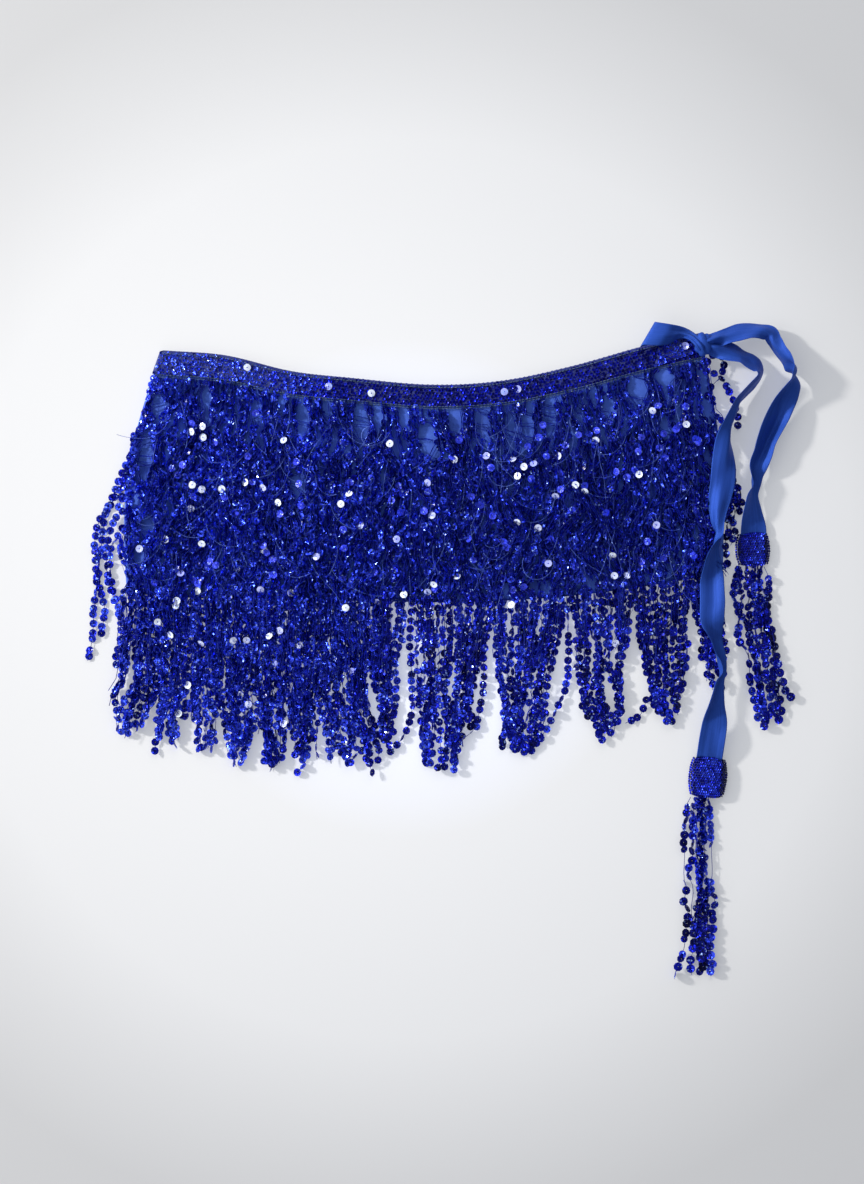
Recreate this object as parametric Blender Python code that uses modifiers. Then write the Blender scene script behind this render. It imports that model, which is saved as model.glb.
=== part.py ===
"""Belly dance hip scarf, tied at its right and laid flat, as closed solids.

X runs across the garment, Y up it towards the waist and Z up from the surface it
lies on. The origin is the middle of its footprint. Tables and sizes are in
millimetres and become metres where the points are made.
"""

import math

import bmesh
import bpy
import numpy as np

MM = 0.001
GAP = 0.3

# Cloth and its folds
PANEL_THICKNESS = 1.2
FOLDS = 9
FOLD_HEIGHT = 1.4
BACK_RISE_AT_WAIST = 2.0
BACK_DROP_AT_HEM = 1.5
LEFT_BULGE = 13.0
RIGHT_BULGE = 7.0

# Height of the middle of each layer above the floor, at the band and below it
BACK_BAND_Z = 0.6
BACK_PANEL_Z = (2.1, 0.6)
FRONT_PANEL_Z = (3.9, 2.4)
FRONT_BAND_Z = 5.4

# Down the front, 0 is the waist edge and 1 the hem
BAND_FOOT = 0.092
LEVEL_TO = 0.13
RAMP_TO = 0.2
FOLDS_FULL_AT = 0.3

# Fringe
HEADER_HEIGHT = 0.026
STRAND_WIDTH = 3.0
STRAND_THICKNESS = 1.2
STRAND_LIFT = 1.05
LAYER_PITCH = 1.6
HEM_DROP = 14.0
SWAY = 2.2

RIBBON_THICKNESS = 1.0

# The front's outline at nine places from the fold at the left to the open edge
OUTLINE = (
    # waist x, waist y, hem x, hem y
    (-224.0, 238.0, -252.0, 47.0),
    (-174.0, 234.0, -190.0, 43.0),
    (-122.0, 221.5, -126.0, 41.0),
    (-74.0, 216.0, -66.0, 41.0),
    (-10.0, 210.5, 2.0, 40.0),
    (46.0, 213.5, 62.0, 42.0),
    (102.0, 225.0, 120.0, 47.0),
    (159.0, 241.0, 176.0, 55.0),
    (206.0, 252.0, 224.0, 63.0),
)

# Where the foot of each front header tape lies down the front, and its strands
TIERS = (
    # node, foot, strands, length past the foot as a share of the front
    ("fringe_tier_1", 0.122, 34, 0.62),
    ("fringe_tier_2", 0.345, 34, 0.62),
    ("fringe_tier_3", 0.665, 0, 0.0),
    ("fringe_tier_4", 0.985, 0, 0.0),
)

# Locks that the hem strings gather into
LOCKS = (
    # hem from, hem to, strings, tip x, tip y, tip spread, side strings shorter by
    (-244.0, -222.0, 4, -256.0, -70.0, 24.0, 6.0),
    (-222.0, -200.0, 2, -221.0, -75.0, 17.0, -4.0),
    (-200.0, -176.0, 3, -193.0, -84.0, 10.0, 6.0),
    (-176.0, -148.0, 3, -164.0, -97.0, 10.0, 10.0),
    (-148.0, -124.0, 2, -135.0, -92.0, 12.0, -8.0),
    (-124.0, -104.0, 2, -115.0, -96.0, 10.0, 0.0),
    (-104.0, -78.0, 3, -83.0, -94.0, 16.0, 5.0),
    (-78.0, -48.0, 4, -55.0, -108.0, 17.0, 26.0),
    (-48.0, -30.0, 1, -42.0, -81.0, 0.0, 0.0),
    (-22.0, 24.0, 5, 0.0, -100.0, 26.0, 6.0),
    (24.0, 38.0, 1, 20.0, -68.0, 0.0, 0.0),
    (38.0, 100.0, 6, 60.0, -90.0, 24.0, 8.0),
    (100.0, 152.0, 5, 127.0, -82.0, 30.0, 30.0),
    (152.0, 197.0, 4, 179.0, -66.0, 22.0, 18.0),
    (197.0, 224.0, 3, 217.0, -36.0, 13.0, 4.0),
)

# Strings that have slipped off the sides and lie on the floor beside the cloth
SIDE_STRINGS = (
    # tier, root across the front, path
    (
        "fringe_tier_2",
        0.022,
        ((-254, 138, 4.0), (-264, 122, 2.0), (-270, 106, 0.9), (-274, 72, 0.9))
        + ((-278, 40, 0.9), (-280, 10, 0.9), (-284, -8, 0.9)),
    ),
    (
        "fringe_tier_3",
        0.008,
        ((-259, 96, 4.0), (-266, 84, 2.0), (-265, 56, 0.9), (-259, 24, 0.9), (-264, -8, 0.9)),
    ),
    (
        "fringe_tier_1",
        0.985,
        ((215, 220, 5.2), (223, 213, 3.0), (231, 203, 0.9), (236, 190, 0.9), (236, 176, 0.9)),
    ),
    (
        "fringe_tier_2",
        0.974,
        ((224, 154, 4.0), (229, 138, 2.0), (231, 118, 0.9), (229, 94, 0.9)),
    ),
    (
        "fringe_tier_2",
        0.99,
        ((229, 160, 4.0), (235, 144, 2.0), (238, 122, 0.9), (235, 104, 0.9)),
    ),
)

LONG_TAIL = (
    # x, y, z, width, roll
    (217.0, 241.0, 12.0, 11.0, 0.0),
    (225.0, 240.5, 12.0, 17.0, 25.0),
    (234.0, 237.5, 11.5, 20.0, 42.0),
    (245.0, 231.5, 11.0, 20.0, 55.0),
    (251.0, 226.0, 11.0, 20.0, 75.0),
    (253.0, 220.5, 10.8, 20.0, 84.0),
    (250.5, 214.5, 10.8, 20.0, 80.0),
    (246.0, 208.0, 11.5, 20.0, 74.0),
    (240.0, 200.0, 12.5, 18.0, 72.0),
    (234.0, 190.0, 13.0, 18.0, 66.0),
    (227.5, 172.0, 13.0, 19.0, 50.0),
    (224.5, 151.0, 12.5, 20.0, 25.0),
    (223.0, 134.0, 12.0, 20.0, 14.0),
    (220.5, 119.0, 12.5, 17.0, 35.0),
    (218.0, 104.0, 13.0, 11.0, 52.0),
    (218.0, 92.0, 13.6, 8.0, 68.0),
    (215.5, 76.0, 13.4, 13.0, 45.0),
    (214.8, 58.0, 11.2, 18.0, 18.0),
    (214.8, 40.0, 11.4, 20.0, 6.0),
    (215.2, 24.0, 12.4, 19.0, 14.0),
    (217.0, 8.0, 10.8, 14.0, 50.0),
    (220.0, -5.0, 10.2, 10.0, 62.0),
    (222.0, -16.0, 9.8, 8.0, 74.0),
    (219.5, -31.0, 9.6, 14.0, 52.0),
    (217.0, -44.0, 9.8, 19.0, 36.0),
    (215.5, -58.0, 9.2, 20.0, 8.0),
    (214.0, -72.0, 8.0, 20.0, 0.0),
    (213.0, -84.6, 4.6, 20.0, 0.0),
)

SHORT_TAIL = (
    # x, y, z, width, roll
    (217.0, 247.5, 13.5, 11.0, 0.0),
    (226.0, 251.5, 13.0, 17.0, 25.0),
    (238.0, 255.0, 12.0, 20.0, 42.0),
    (250.0, 256.5, 11.5, 20.0, 48.0),
    (259.0, 256.0, 11.0, 20.0, 62.0),
    (264.5, 252.5, 10.8, 20.0, 80.0),
    (267.5, 246.0, 10.8, 20.0, 68.0),
    (272.0, 236.0, 11.4, 20.0, 58.0),
    (278.0, 227.5, 12.0, 20.0, 70.0),
    (281.5, 220.0, 12.2, 19.0, 82.0),
    (280.0, 212.5, 12.2, 19.0, 66.0),
    (275.5, 203.5, 11.6, 20.0, 35.0),
    (270.0, 193.5, 10.8, 20.0, 12.0),
    (264.5, 179.0, 11.0, 20.0, 16.0),
    (257.0, 162.0, 11.2, 18.0, 40.0),
    (251.5, 149.0, 10.4, 17.0, 35.0),
    (249.0, 137.0, 9.6, 11.0, 55.0),
    (246.5, 122.0, 9.0, 16.0, 40.0),
    (247.0, 108.0, 6.0, 19.0, 20.0),
    (248.0, 94.7, 2.0, 20.0, 0.0),
)

# The bow's one loop, out from the knot and back over itself
LOOP = (
    # one edge x, y, then the other edge x, y, and z
    (197.0, 252.0, 196.0, 247.0, 9.6),
    (186.0, 257.0, 183.0, 246.5, 9.0),
    (171.0, 261.0, 160.0, 242.5, 9.2),
    (169.0, 261.4, 158.0, 242.2, 11.6),
    (171.0, 260.8, 160.0, 242.8, 14.2),
    (180.4, 259.2, 171.0, 242.2, 16.0),
    (188.0, 258.2, 179.5, 243.6, 14.6),
    (196.0, 255.0, 188.0, 246.5, 13.6),
)

# The band's free end, pulled over the front into the knot
BAND_END = (
    # one edge x, y, then the other edge x, y, and z
    (173.0, 245.5, 169.0, 226.5, 6.9),
    (190.0, 251.0, 187.0, 233.0, 6.9),
    (209.0, 256.0, 207.5, 240.0, 6.9),
)

KNOT_CENTRE = (207.0, 243.5, 12.7)
KNOT_RADII = (9.0, 11.5, 4.9)

CAPS = (
    # node, centre x, y, width, height, thickness, turn
    ("end_cap_short", 248.0, 81.0, 26.0, 26.0, 6.2, 2.0),
    ("end_cap_long", 212.0, -101.0, 29.0, 32.0, 8.4, -5.0),
)

TASSELS = (
    # node, head foot y, roots from x to x, tips
    (
        "tassel_short",
        64.0,
        238.0,
        259.0,
        ((243, -22), (249, -52), (254, -60), (259, -64), (264, -58), (269, -61), (278, -37)),
    ),
    (
        "tassel_long",
        -121.5,
        200.0,
        224.0,
        ((187, -259), (193, -225), (199.5, -261), (204, -240), (208.5, -256), (213, -260))
        + ((219, -215),),
    ),
)

FABRICS = {
    # linear red, green, blue; roughness; metallic
    "base_cloth": ((0.026, 0.058, 0.342), 0.85, 0.0),
    "sequin_foil": ((0.010, 0.017, 0.178), 0.30, 0.8),
    "ribbon_satin": ((0.019, 0.060, 0.342), 0.45, 0.0),
}


def clear_scene():
    for old in list(bpy.data.objects):
        bpy.data.objects.remove(old)


def make_fabrics():
    made = {}
    for name, (colour, roughness, metallic) in FABRICS.items():
        made[name] = bpy.data.materials.new(name)
        made[name].use_nodes = True
        surface = made[name].node_tree.nodes["Principled BSDF"]
        surface.inputs["Base Color"].default_value = (*colour, 1.0)
        surface.inputs["Roughness"].default_value = roughness
        surface.inputs["Metallic"].default_value = metallic
    return made


def between(low, high, value):
    """How far value has gone from low to high, held between 0 and 1."""
    return min(max((value - low) / (high - low), 0.0), 1.0)


def eased(share):
    return share * share * (3.0 - 2.0 * share)


def through(rows, share):
    """A row read from a table at a share of its length, on a smooth curve through its rows."""
    table = np.asarray(rows, dtype=float)
    last = len(table) - 1
    place = min(max(share, 0.0), 1.0) * last
    start = min(int(place), last - 1)
    t = place - start
    before = table[start - 1] if start > 0 else 2.0 * table[0] - table[1]
    after = table[start + 2] if start + 2 <= last else 2.0 * table[last] - table[last - 1]
    here, there = table[start], table[start + 1]
    return 0.5 * (
        2.0 * here
        + (there - before) * t
        + (2.0 * before - 5.0 * here + 4.0 * there - after) * t * t
        + (3.0 * here - before - 3.0 * there + after) * t**3
    )


def outline(across, down):
    """Place on the front, across from 0 at the fold to 1, down from the waist to the hem."""
    waist_x, waist_y, hem_x, hem_y = through(OUTLINE, across)
    belly = math.sin(math.pi * down)
    x = waist_x + (hem_x - waist_x) * down
    x -= LEFT_BULGE * belly * (1.0 - between(0.0, 0.14, across)) ** 2
    x += RIGHT_BULGE * belly * between(0.86, 1.0, across) ** 2
    return x, waist_y + (hem_y - waist_y) * down


def folds(across, down):
    """Lift of the front cloth where it falls in soft upright folds."""
    wave = 0.5 - 0.5 * math.cos(2.0 * math.pi * FOLDS * across)
    return FOLD_HEIGHT * wave * between(RAMP_TO, FOLDS_FULL_AT, down)


def layer_height(heights, down):
    at_band, below = heights
    return at_band + (below - at_band) * between(LEVEL_TO, RAMP_TO, down)


def cloth_top(across, down):
    return layer_height(FRONT_PANEL_Z, down) + folds(across, down) + PANEL_THICKNESS / 2.0


def wrapped_sheet(rows, front_height, back_height, fold_centre, lifted):
    """Points of a strip that lies on the front, turns round the left fold and runs along the back."""
    front = np.linspace(1.0, 0.0, FOLDS * 6 + 1)
    turn = np.radians((45.0, 90.0, 135.0))
    back = np.linspace(0.0, 1.0, 15)
    columns = []
    for across in front:
        column = []
        for down in rows:
            x, y = outline(across, down)
            z = front_height(down) + (folds(across, down) if lifted else 0.0)
            column.append((x + fold_centre(down) * (1.0 - across), y, z))
        columns.append(column)
    for angle in turn:
        column = []
        for down in rows:
            x, y = outline(0.0, down)
            top, foot = front_height(down), back_height(down)
            radius = (top - foot) / 2.0
            x += fold_centre(down) - radius * math.sin(angle)
            y += back_shift(down) * angle / math.pi
            column.append((x, y, foot + radius * (1.0 + math.cos(angle))))
        columns.append(column)
    for across in back:
        column = []
        for down in rows:
            x, y = outline(across, down)
            x += fold_centre(down) * (1.0 - across)
            column.append((x, y + back_shift(down), back_height(down)))
        columns.append(column)
    return columns


def back_shift(down):
    """The back shows a little above the front's waist edge and below its hem."""
    return BACK_RISE_AT_WAIST * (1.0 - down) - BACK_DROP_AT_HEM * down


def surface_object(name, mesh, thickness, material, parts):
    """An open surface given its thickness evenly to both sides."""
    data = bpy.data.meshes.new(name)
    bmesh.ops.recalc_face_normals(mesh, faces=mesh.faces)
    mesh.to_mesh(data)
    mesh.free()
    data.materials.append(material)
    data.shade_smooth()
    data.set_sharp_from_angle(angle=math.radians(50.0))
    node = bpy.data.objects.new(name, data)
    parts.objects.link(node)
    shell = node.modifiers.new("thickness", "SOLIDIFY")
    shell.thickness = thickness * MM
    shell.offset = 0.0
    return node


def sheet_object(name, columns, thickness, material, parts):
    """A sheet through columns of points."""
    mesh = bmesh.new()
    rows = [[mesh.verts.new([c * MM for c in point]) for point in column] for column in columns]
    for left, right in zip(rows, rows[1:]):
        for (a, b), (c, d) in zip(zip(left, left[1:]), zip(right, right[1:])):
            mesh.faces.new((a, b, d, c))
    return surface_object(name, mesh, thickness, material, parts)


def make_panel(fabrics, parts):
    rows = (0.0, LEVEL_TO, RAMP_TO, FOLDS_FULL_AT, 0.48, 0.65, 0.82, 1.0)
    columns = wrapped_sheet(
        rows,
        lambda down: layer_height(FRONT_PANEL_Z, down),
        lambda down: layer_height(BACK_PANEL_Z, down),
        lambda down: fold_radius(down),
        True,
    )
    sheet_object("wrap_panel", columns, PANEL_THICKNESS, fabrics["base_cloth"], parts)


def fold_radius(down):
    return (layer_height(FRONT_PANEL_Z, down) - layer_height(BACK_PANEL_Z, down)) / 2.0


def make_waistband(fabrics, parts):
    rows = (0.0, BAND_FOOT / 2.0, BAND_FOOT)
    columns = wrapped_sheet(
        rows,
        lambda down: FRONT_BAND_Z,
        lambda down: BACK_BAND_Z,
        fold_radius,
        False,
    )
    sheet_object("waistband", columns, PANEL_THICKNESS, fabrics["sequin_foil"], parts)


def ribbon_edges(centre_line, steps):
    """The two edges of a ribbon that rolls about its own middle line as it goes."""
    shares = np.linspace(0.0, 1.0, steps)
    rows = np.array([through(centre_line, share) for share in shares])
    ahead = np.gradient(rows[:, :2], axis=0)
    columns = []
    for (x, y, z, width, roll), (along_x, along_y) in zip(rows, ahead):
        length = math.hypot(along_x, along_y)
        flat = 0.5 * width * math.cos(math.radians(roll))
        rise = 0.5 * width * math.sin(math.radians(roll))
        side_x, side_y = along_y / length * flat, -along_x / length * flat
        columns.append(((x + side_x, y + side_y, z + rise), (x - side_x, y - side_y, z - rise)))
    return columns


def make_ribbons(fabrics, parts):
    satin = fabrics["ribbon_satin"]
    for name, table, steps in (
        ("tie_tail_long", LONG_TAIL, 73),
        ("tie_tail_short", SHORT_TAIL, 58),
    ):
        columns = ribbon_edges(table, steps)
        sheet_object(name, columns, RIBBON_THICKNESS, satin, parts)
    for name, table, thickness, fabric in (
        ("tie_loop", LOOP, RIBBON_THICKNESS, satin),
        ("band_end", BAND_END, PANEL_THICKNESS, fabrics["sequin_foil"]),
    ):
        steps = len(table) * 3 - 2
        rows = [through(table, share) for share in np.linspace(0.0, 1.0, steps)]
        columns = [((ax, ay, z), (bx, by, z)) for ax, ay, bx, by, z in rows]
        sheet_object(name, columns, thickness, fabric, parts)


def make_knot(fabrics, parts):
    mesh = bmesh.new()
    bmesh.ops.create_uvsphere(mesh, u_segments=16, v_segments=10, radius=1.0)
    for vert in mesh.verts:
        fold = 1.0 - 0.12 * abs(math.sin(2.5 * vert.co.x + 1.2 * vert.co.y))
        vert.co.x *= KNOT_RADII[0] * fold
        vert.co.y *= KNOT_RADII[1] * fold
        vert.co.z *= KNOT_RADII[2]
    bmesh.ops.scale(mesh, vec=(MM, MM, MM), verts=mesh.verts)
    data = bpy.data.meshes.new("tie_knot")
    mesh.to_mesh(data)
    mesh.free()
    data.materials.append(fabrics["ribbon_satin"])
    data.shade_smooth()
    knot = bpy.data.objects.new("tie_knot", data)
    knot.location = [c * MM for c in KNOT_CENTRE]
    parts.objects.link(knot)


def make_caps(fabrics, parts):
    for name, x, y, width, height, thickness, turn in CAPS:
        mesh = bmesh.new()
        bmesh.ops.create_cube(mesh, size=1.0)
        bmesh.ops.scale(mesh, vec=(width * MM, height * MM, thickness * MM), verts=mesh.verts)
        data = bpy.data.meshes.new(name)
        mesh.to_mesh(data)
        mesh.free()
        data.materials.append(fabrics["sequin_foil"])
        cap = bpy.data.objects.new(name, data)
        cap.location = (x * MM, y * MM, thickness / 2.0 * MM)
        cap.rotation_euler.z = math.radians(turn)
        parts.objects.link(cap)
        edges = cap.modifiers.new("soft_edges", "BEVEL")
        edges.width = 1.6 * MM
        edges.segments = 2


def comb_object(name, boundaries, roots, material, parts):
    """A header tape with a strand hanging from each of its root places.

    boundaries is the tape's foot and top point at each place along it; roots gives,
    for the boundary where a strand starts, the points down the strand's middle.
    """
    mesh = bmesh.new()
    feet = [mesh.verts.new([c * MM for c in foot]) for foot, top in boundaries]
    tops = [mesh.verts.new([c * MM for c in top]) for foot, top in boundaries]
    for i in range(len(feet) - 1):
        mesh.faces.new((feet[i], feet[i + 1], tops[i + 1], tops[i]))
    for start, path in roots.items():
        left, right = feet[start], feet[start + 1]
        begin = (np.array(left.co) + np.array(right.co)) / (2.0 * MM)
        line = np.vstack((begin, np.array(path, dtype=float)))
        ahead = np.gradient(line[:, :2], axis=0)
        for (x, y, z), (along_x, along_y) in zip(line[1:], ahead[1:]):
            length = math.hypot(along_x, along_y)
            half_x = -along_y / length * STRAND_WIDTH / 2.0
            half_y = along_x / length * STRAND_WIDTH / 2.0
            next_left = mesh.verts.new(((x - half_x) * MM, (y - half_y) * MM, z * MM))
            next_right = mesh.verts.new(((x + half_x) * MM, (y + half_y) * MM, z * MM))
            mesh.faces.new((left, right, next_right, next_left))
            left, right = next_left, next_right
    surface_object(name, mesh, STRAND_THICKNESS, material, parts)


def across_at_hem(hem_x):
    """The place across the front whose hem lies at this x."""
    places = np.linspace(0.0, 1.0, 201)
    hem = [outline(place, 1.0)[0] for place in places]
    return float(np.interp(hem_x, hem, places))


def hem_strings(above):
    """Place on the hem, tip x, end y and the lock's tip y of each string, from the left.

    The strings of a row above the hem's lie between those of the hem's own row.
    """
    strings = []
    for low, high, count, tip_x, tip_y, spread, shorter in LOCKS:
        places = max(count - 1, 1) if above else count
        for i in range(places):
            share = (i + 0.5) / places
            end_y = tip_y + shorter * abs(2.0 * share - 1.0)
            hem_x = low + (high - low) * share
            strings.append((hem_x, tip_x + (share - 0.5) * spread, end_y, min(tip_y, end_y)))
    return strings


def below_hem(hem_x, tip_x, lock_y, y):
    """The x of a string that has left the hem; strings of one lock keep their order."""
    hem_y = outline(across_at_hem(hem_x), 1.0)[1]
    share = between(hem_y, lock_y, y)
    return hem_x + (tip_x - hem_x) * eased(share) + SWAY * math.sin(y / 14.0) * share


def floor_level(layer):
    """Height of the middle of a string on the floor, with other strings under it."""
    return GAP + STRAND_THICKNESS / 2.0 + LAYER_PITCH * layer


def over_cloth(across, down, layer):
    x, y = outline(across, down)
    return x, y, cloth_top(across, down) + STRAND_LIFT + LAYER_PITCH * layer


def down_the_front(tier, across, stop):
    """Points of a string over the cloth, climbing over each header tape that it meets."""
    points = []
    layer = 0
    for _, foot, *_ in TIERS[tier + 1 :]:
        rise_to = foot - HEADER_HEIGHT - 0.02
        if rise_to - 0.01 > stop:
            break
        if layer + tier > 1:
            points.append(over_cloth(across, rise_to - 0.174, layer))
        layer += 1
        points.append(over_cloth(across, rise_to, layer))
    points.append(over_cloth(across, min(stop, 1.0), layer))
    return points, layer


def fall_to_tip(string, reach, layer, steps):
    """Points below the hem, dropping to the floor within the first stretch."""
    hem_x, tip_x, end_y, lock_y = string
    hem_y = outline(across_at_hem(hem_x), 1.0)[1]
    first = HEM_DROP / (hem_y - end_y)
    points = []
    for i in range(steps + 1):
        y = hem_y + (end_y - hem_y) * (first + (reach - first) * i / steps)
        points.append((below_hem(hem_x, tip_x, lock_y, y), y, floor_level(layer)))
    return points


def header_boundaries(places, half, first, last):
    """Both sides of every root place along a header tape, with the tape's two ends."""
    marks = [first]
    for place in places:
        marks += [place - half, place + half]
    return marks + [last]


def strands_of_tier(tier):
    """The path of each strand of a front tier, by its place across the front."""
    name, foot, count, length = TIERS[tier]
    strands = {across: list(path) for owner, across, path in SIDE_STRINGS if owner == name}
    if tier < 2:
        for i in range(count):
            across = 0.045 + 0.91 * i / (count - 1)
            stop = foot + length + 0.025 * math.sin(4.0 * i)
            strands[across], _ = down_the_front(tier, across, stop)
        return strands
    for i, string in enumerate(hem_strings(tier == 2)):
        across = across_at_hem(string[0])
        path, layer = down_the_front(tier, across, 1.0)
        reach = 1.0 if tier == 3 else 0.62 + 0.06 * math.sin(5.0 * i)
        strands[across] = path + fall_to_tip(string, reach, layer + 1, 5 if tier == 3 else 3)
    return strands


def make_front_tiers(fabrics, parts):
    half = STRAND_WIDTH / 2.0 / 470.0
    for tier, (name, foot, *_) in enumerate(TIERS):
        strands = strands_of_tier(tier)
        places = sorted(strands)
        boundaries = [
            (over_cloth(mark, foot, 0), over_cloth(mark, foot - HEADER_HEIGHT, 0))
            for mark in header_boundaries(places, half, 0.004, 0.996)
        ]
        roots = {1 + 2 * i: strands[place] for i, place in enumerate(places)}
        comb_object(name, boundaries, roots, fabrics["sequin_foil"], parts)


def make_back_fringe(fabrics, parts):
    """The back half's hem row, on the floor under the front's strings."""
    strings = hem_strings(True)
    paths = []
    for hem_x, tip_x, end_y, lock_y in strings:
        paths.append(fall_to_tip((hem_x, tip_x, end_y + 10.0, lock_y), 0.96, 0, 4))
    boundaries = []
    for mark in header_boundaries([string[0] for string in strings], STRAND_WIDTH / 2.0, -249.5, 222.0):
        y = outline(across_at_hem(mark), 1.0)[1] - BACK_DROP_AT_HEM - GAP
        boundaries.append(((mark, y - 5.0, 0.6), (mark, y, 0.6)))
    roots = {1 + 2 * i: path for i, path in enumerate(paths)}
    comb_object("back_fringe", boundaries, roots, fabrics["sequin_foil"], parts)


def make_tassels(fabrics, parts):
    for name, foot_y, first_x, last_x, tips in TASSELS:
        places = np.linspace(first_x, last_x, len(tips))
        lowest = min(tip_y for tip_x, tip_y in tips)
        marks = header_boundaries(places, STRAND_WIDTH / 2.0, first_x - 2.5, last_x + 2.5)
        boundaries = [((mark, foot_y, 0.9), (mark, foot_y + 3.0, 0.9)) for mark in marks]
        roots = {}
        for i, (place, (tip_x, tip_y)) in enumerate(zip(places, tips)):
            path = []
            for y in np.linspace(foot_y, tip_y, 7)[1:]:
                share = between(foot_y, lowest, y)
                x = place + (tip_x - place) * share + SWAY * math.sin(y / 14.0) * share
                path.append((x, y, 0.9))
            roots[1 + 2 * i] = path
        comb_object(name, boundaries, roots, fabrics["sequin_foil"], parts)


def main():
    clear_scene()
    parts = bpy.data.collections.new("belly_dance_scarf")
    bpy.context.scene.collection.children.link(parts)
    fabrics = make_fabrics()
    make_panel(fabrics, parts)
    make_waistband(fabrics, parts)
    make_front_tiers(fabrics, parts)
    make_back_fringe(fabrics, parts)
    make_ribbons(fabrics, parts)
    make_knot(fabrics, parts)
    make_caps(fabrics, parts)
    make_tassels(fabrics, parts)


main()
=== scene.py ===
"""Looks of the belly dance hip scarf: cloth, sequin strings, waistband, ribbon tie and end caps.

Sizes and tables are in millimetres in the frame's own axes: X across the garment, Y up it
towards the waist and Z up from the surface it lies on. They become metres where a mesh is made.
"""

import math

import bmesh
import bpy
import numpy as np
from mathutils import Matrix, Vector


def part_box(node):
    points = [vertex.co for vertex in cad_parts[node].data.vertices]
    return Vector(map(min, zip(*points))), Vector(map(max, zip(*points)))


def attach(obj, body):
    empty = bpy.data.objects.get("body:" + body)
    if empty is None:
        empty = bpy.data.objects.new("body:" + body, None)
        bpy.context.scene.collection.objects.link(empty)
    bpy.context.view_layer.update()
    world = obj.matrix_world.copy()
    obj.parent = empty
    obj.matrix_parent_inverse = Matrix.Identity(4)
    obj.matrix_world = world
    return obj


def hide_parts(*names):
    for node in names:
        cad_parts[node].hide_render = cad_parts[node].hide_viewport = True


bl_info = {
    "name": "Belly Dance Hip Scarf",
    "version": (1, 0, 0),
    "blender": (4, 5, 0),
    "location": "3D View > Sidebar > Hip Scarf",
    "description": "Builds the cloth, sequin strings, waistband and ribbon tie of a hip scarf",
    "category": "Object",
}

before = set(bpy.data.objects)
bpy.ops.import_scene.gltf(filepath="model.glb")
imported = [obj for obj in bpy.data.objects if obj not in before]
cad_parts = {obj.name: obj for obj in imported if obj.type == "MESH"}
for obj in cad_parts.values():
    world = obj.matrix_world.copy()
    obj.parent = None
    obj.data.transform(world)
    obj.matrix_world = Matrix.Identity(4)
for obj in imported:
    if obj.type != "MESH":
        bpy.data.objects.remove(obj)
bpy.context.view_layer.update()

MM = 0.001

# About a whole turn, for the phase of a wave
TURN = 6.28

# Cloth, as the solids have it. A place down the front is a share of its way from waist to hem.
FOLDS = 9
FOLD_HEIGHT = 1.4
BACK_RISE_AT_WAIST = 2.0
BACK_DROP_AT_HEM = 1.5
LEFT_BULGE = 13.0
RIGHT_BULGE = 7.0
BACK_BAND_Z = 0.6
BACK_PANEL_Z = (2.1, 0.6)
FRONT_PANEL_Z = (3.9, 2.4)
FRONT_BAND_Z = 5.4
BAND_FOOT = 0.092
FRONT_HEIGHT = 190.0
LEVEL_TO = 0.13
RAMP_TO = 0.2
FOLDS_FULL_AT = 0.3

# Sheets: walls, how far a cloth's top lies above its middle with a little to spare, and what one
# step of the pattern's map is worth
CLOTH_THICKNESS = 0.8
CLOTH_TOP = 0.6
CLOTH_MAP = (2.0, 3.0)
RIBBON_THICKNESS = 0.35
TAIL_MAP = (1.2, 1.4)
LOOP_MAP = (1.0, 1.4)

# Fringe. Sequins that lie flat follow each other at FLAT_PITCH of their pitch. The strings of the
# two upper rows bow to the right by up to LEAN, and less near the sides.
HEADER_HEIGHT = 0.026
STRAND_LIFT = 1.05
LAYER_PITCH = 1.6
FLOOR_LIFT = 0.9
HEM_DROP = 14.0
STEP = 1.75
THREAD_STEP = 6.0
THREAD_RADIUS = 0.28
FLAT_PITCH = 1.08
LEAN = 9.0
LOWEST_SEQUIN_Z = 0.7
LOWEST_RIM_Z = 0.15

# The fringe is thick and straight left of the first x, and loose right of the second
THICK_LEFT_TO = (-62.0, -36.0)
# Half of the strings or a little less hang left of this x of the hem
HALF_WAY = -48.0
LEFT_SHARE_UPPER = 0.47
LEFT_SHARE_LOWER = 0.50
LEFT_SHARE_BACK = 0.48
BACK_STRINGS = 66

# A string starts to climb over the next header tape this share of the front above it, and is up
# there at the second share
CLIMB_FROM = 0.194
CLIMBED_BY = 0.02

# How far the pleats' waves run along a whole ribbon tail
PLEAT_PHASE = 340.0

# What lies on top of the strings, and how high: sequins with painted flashes, and loose threads
PAINTED_BLUE_FLASHES = 90
DIM_PAINTED_BAND_FLASHES = 3
FLASH_Z = 9.0
BAND_FLASH_Z = 7.0
LOOSE_THREADS = 140
LOOSE_THREAD_Z = 8.6

# The photo's height in pixels and the camera's sensor in millimetres. What a pixel is worth, the
# place under the photo's centre, the camera's height and the floor's size and place are in metres.
PHOTO_HEIGHT = 1184.0
SENSOR = 36.0
PIXEL = 0.0008
PHOTO_CENTRE = (-0.0084, 0.0468)
CAMERA_HEIGHT = 1.8
FLOOR_SIZE = 6.0
FLOOR_Z = -0.0002

TIER_FEET = (0.105, 0.345, 0.665, 0.985)

OUTLINE = (
    # waist x, waist y, hem x, hem y
    (-224, 238, -252, 47),
    (-174, 234, -190, 43),
    (-122, 221.5, -126, 41),
    (-74, 216, -66, 41),
    (-10, 210.5, 2, 40),
    (46, 213.5, 62, 42),
    (102, 225, 120, 47),
    (159, 241, 176, 55),
    (206, 252, 224, 63),
)

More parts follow.
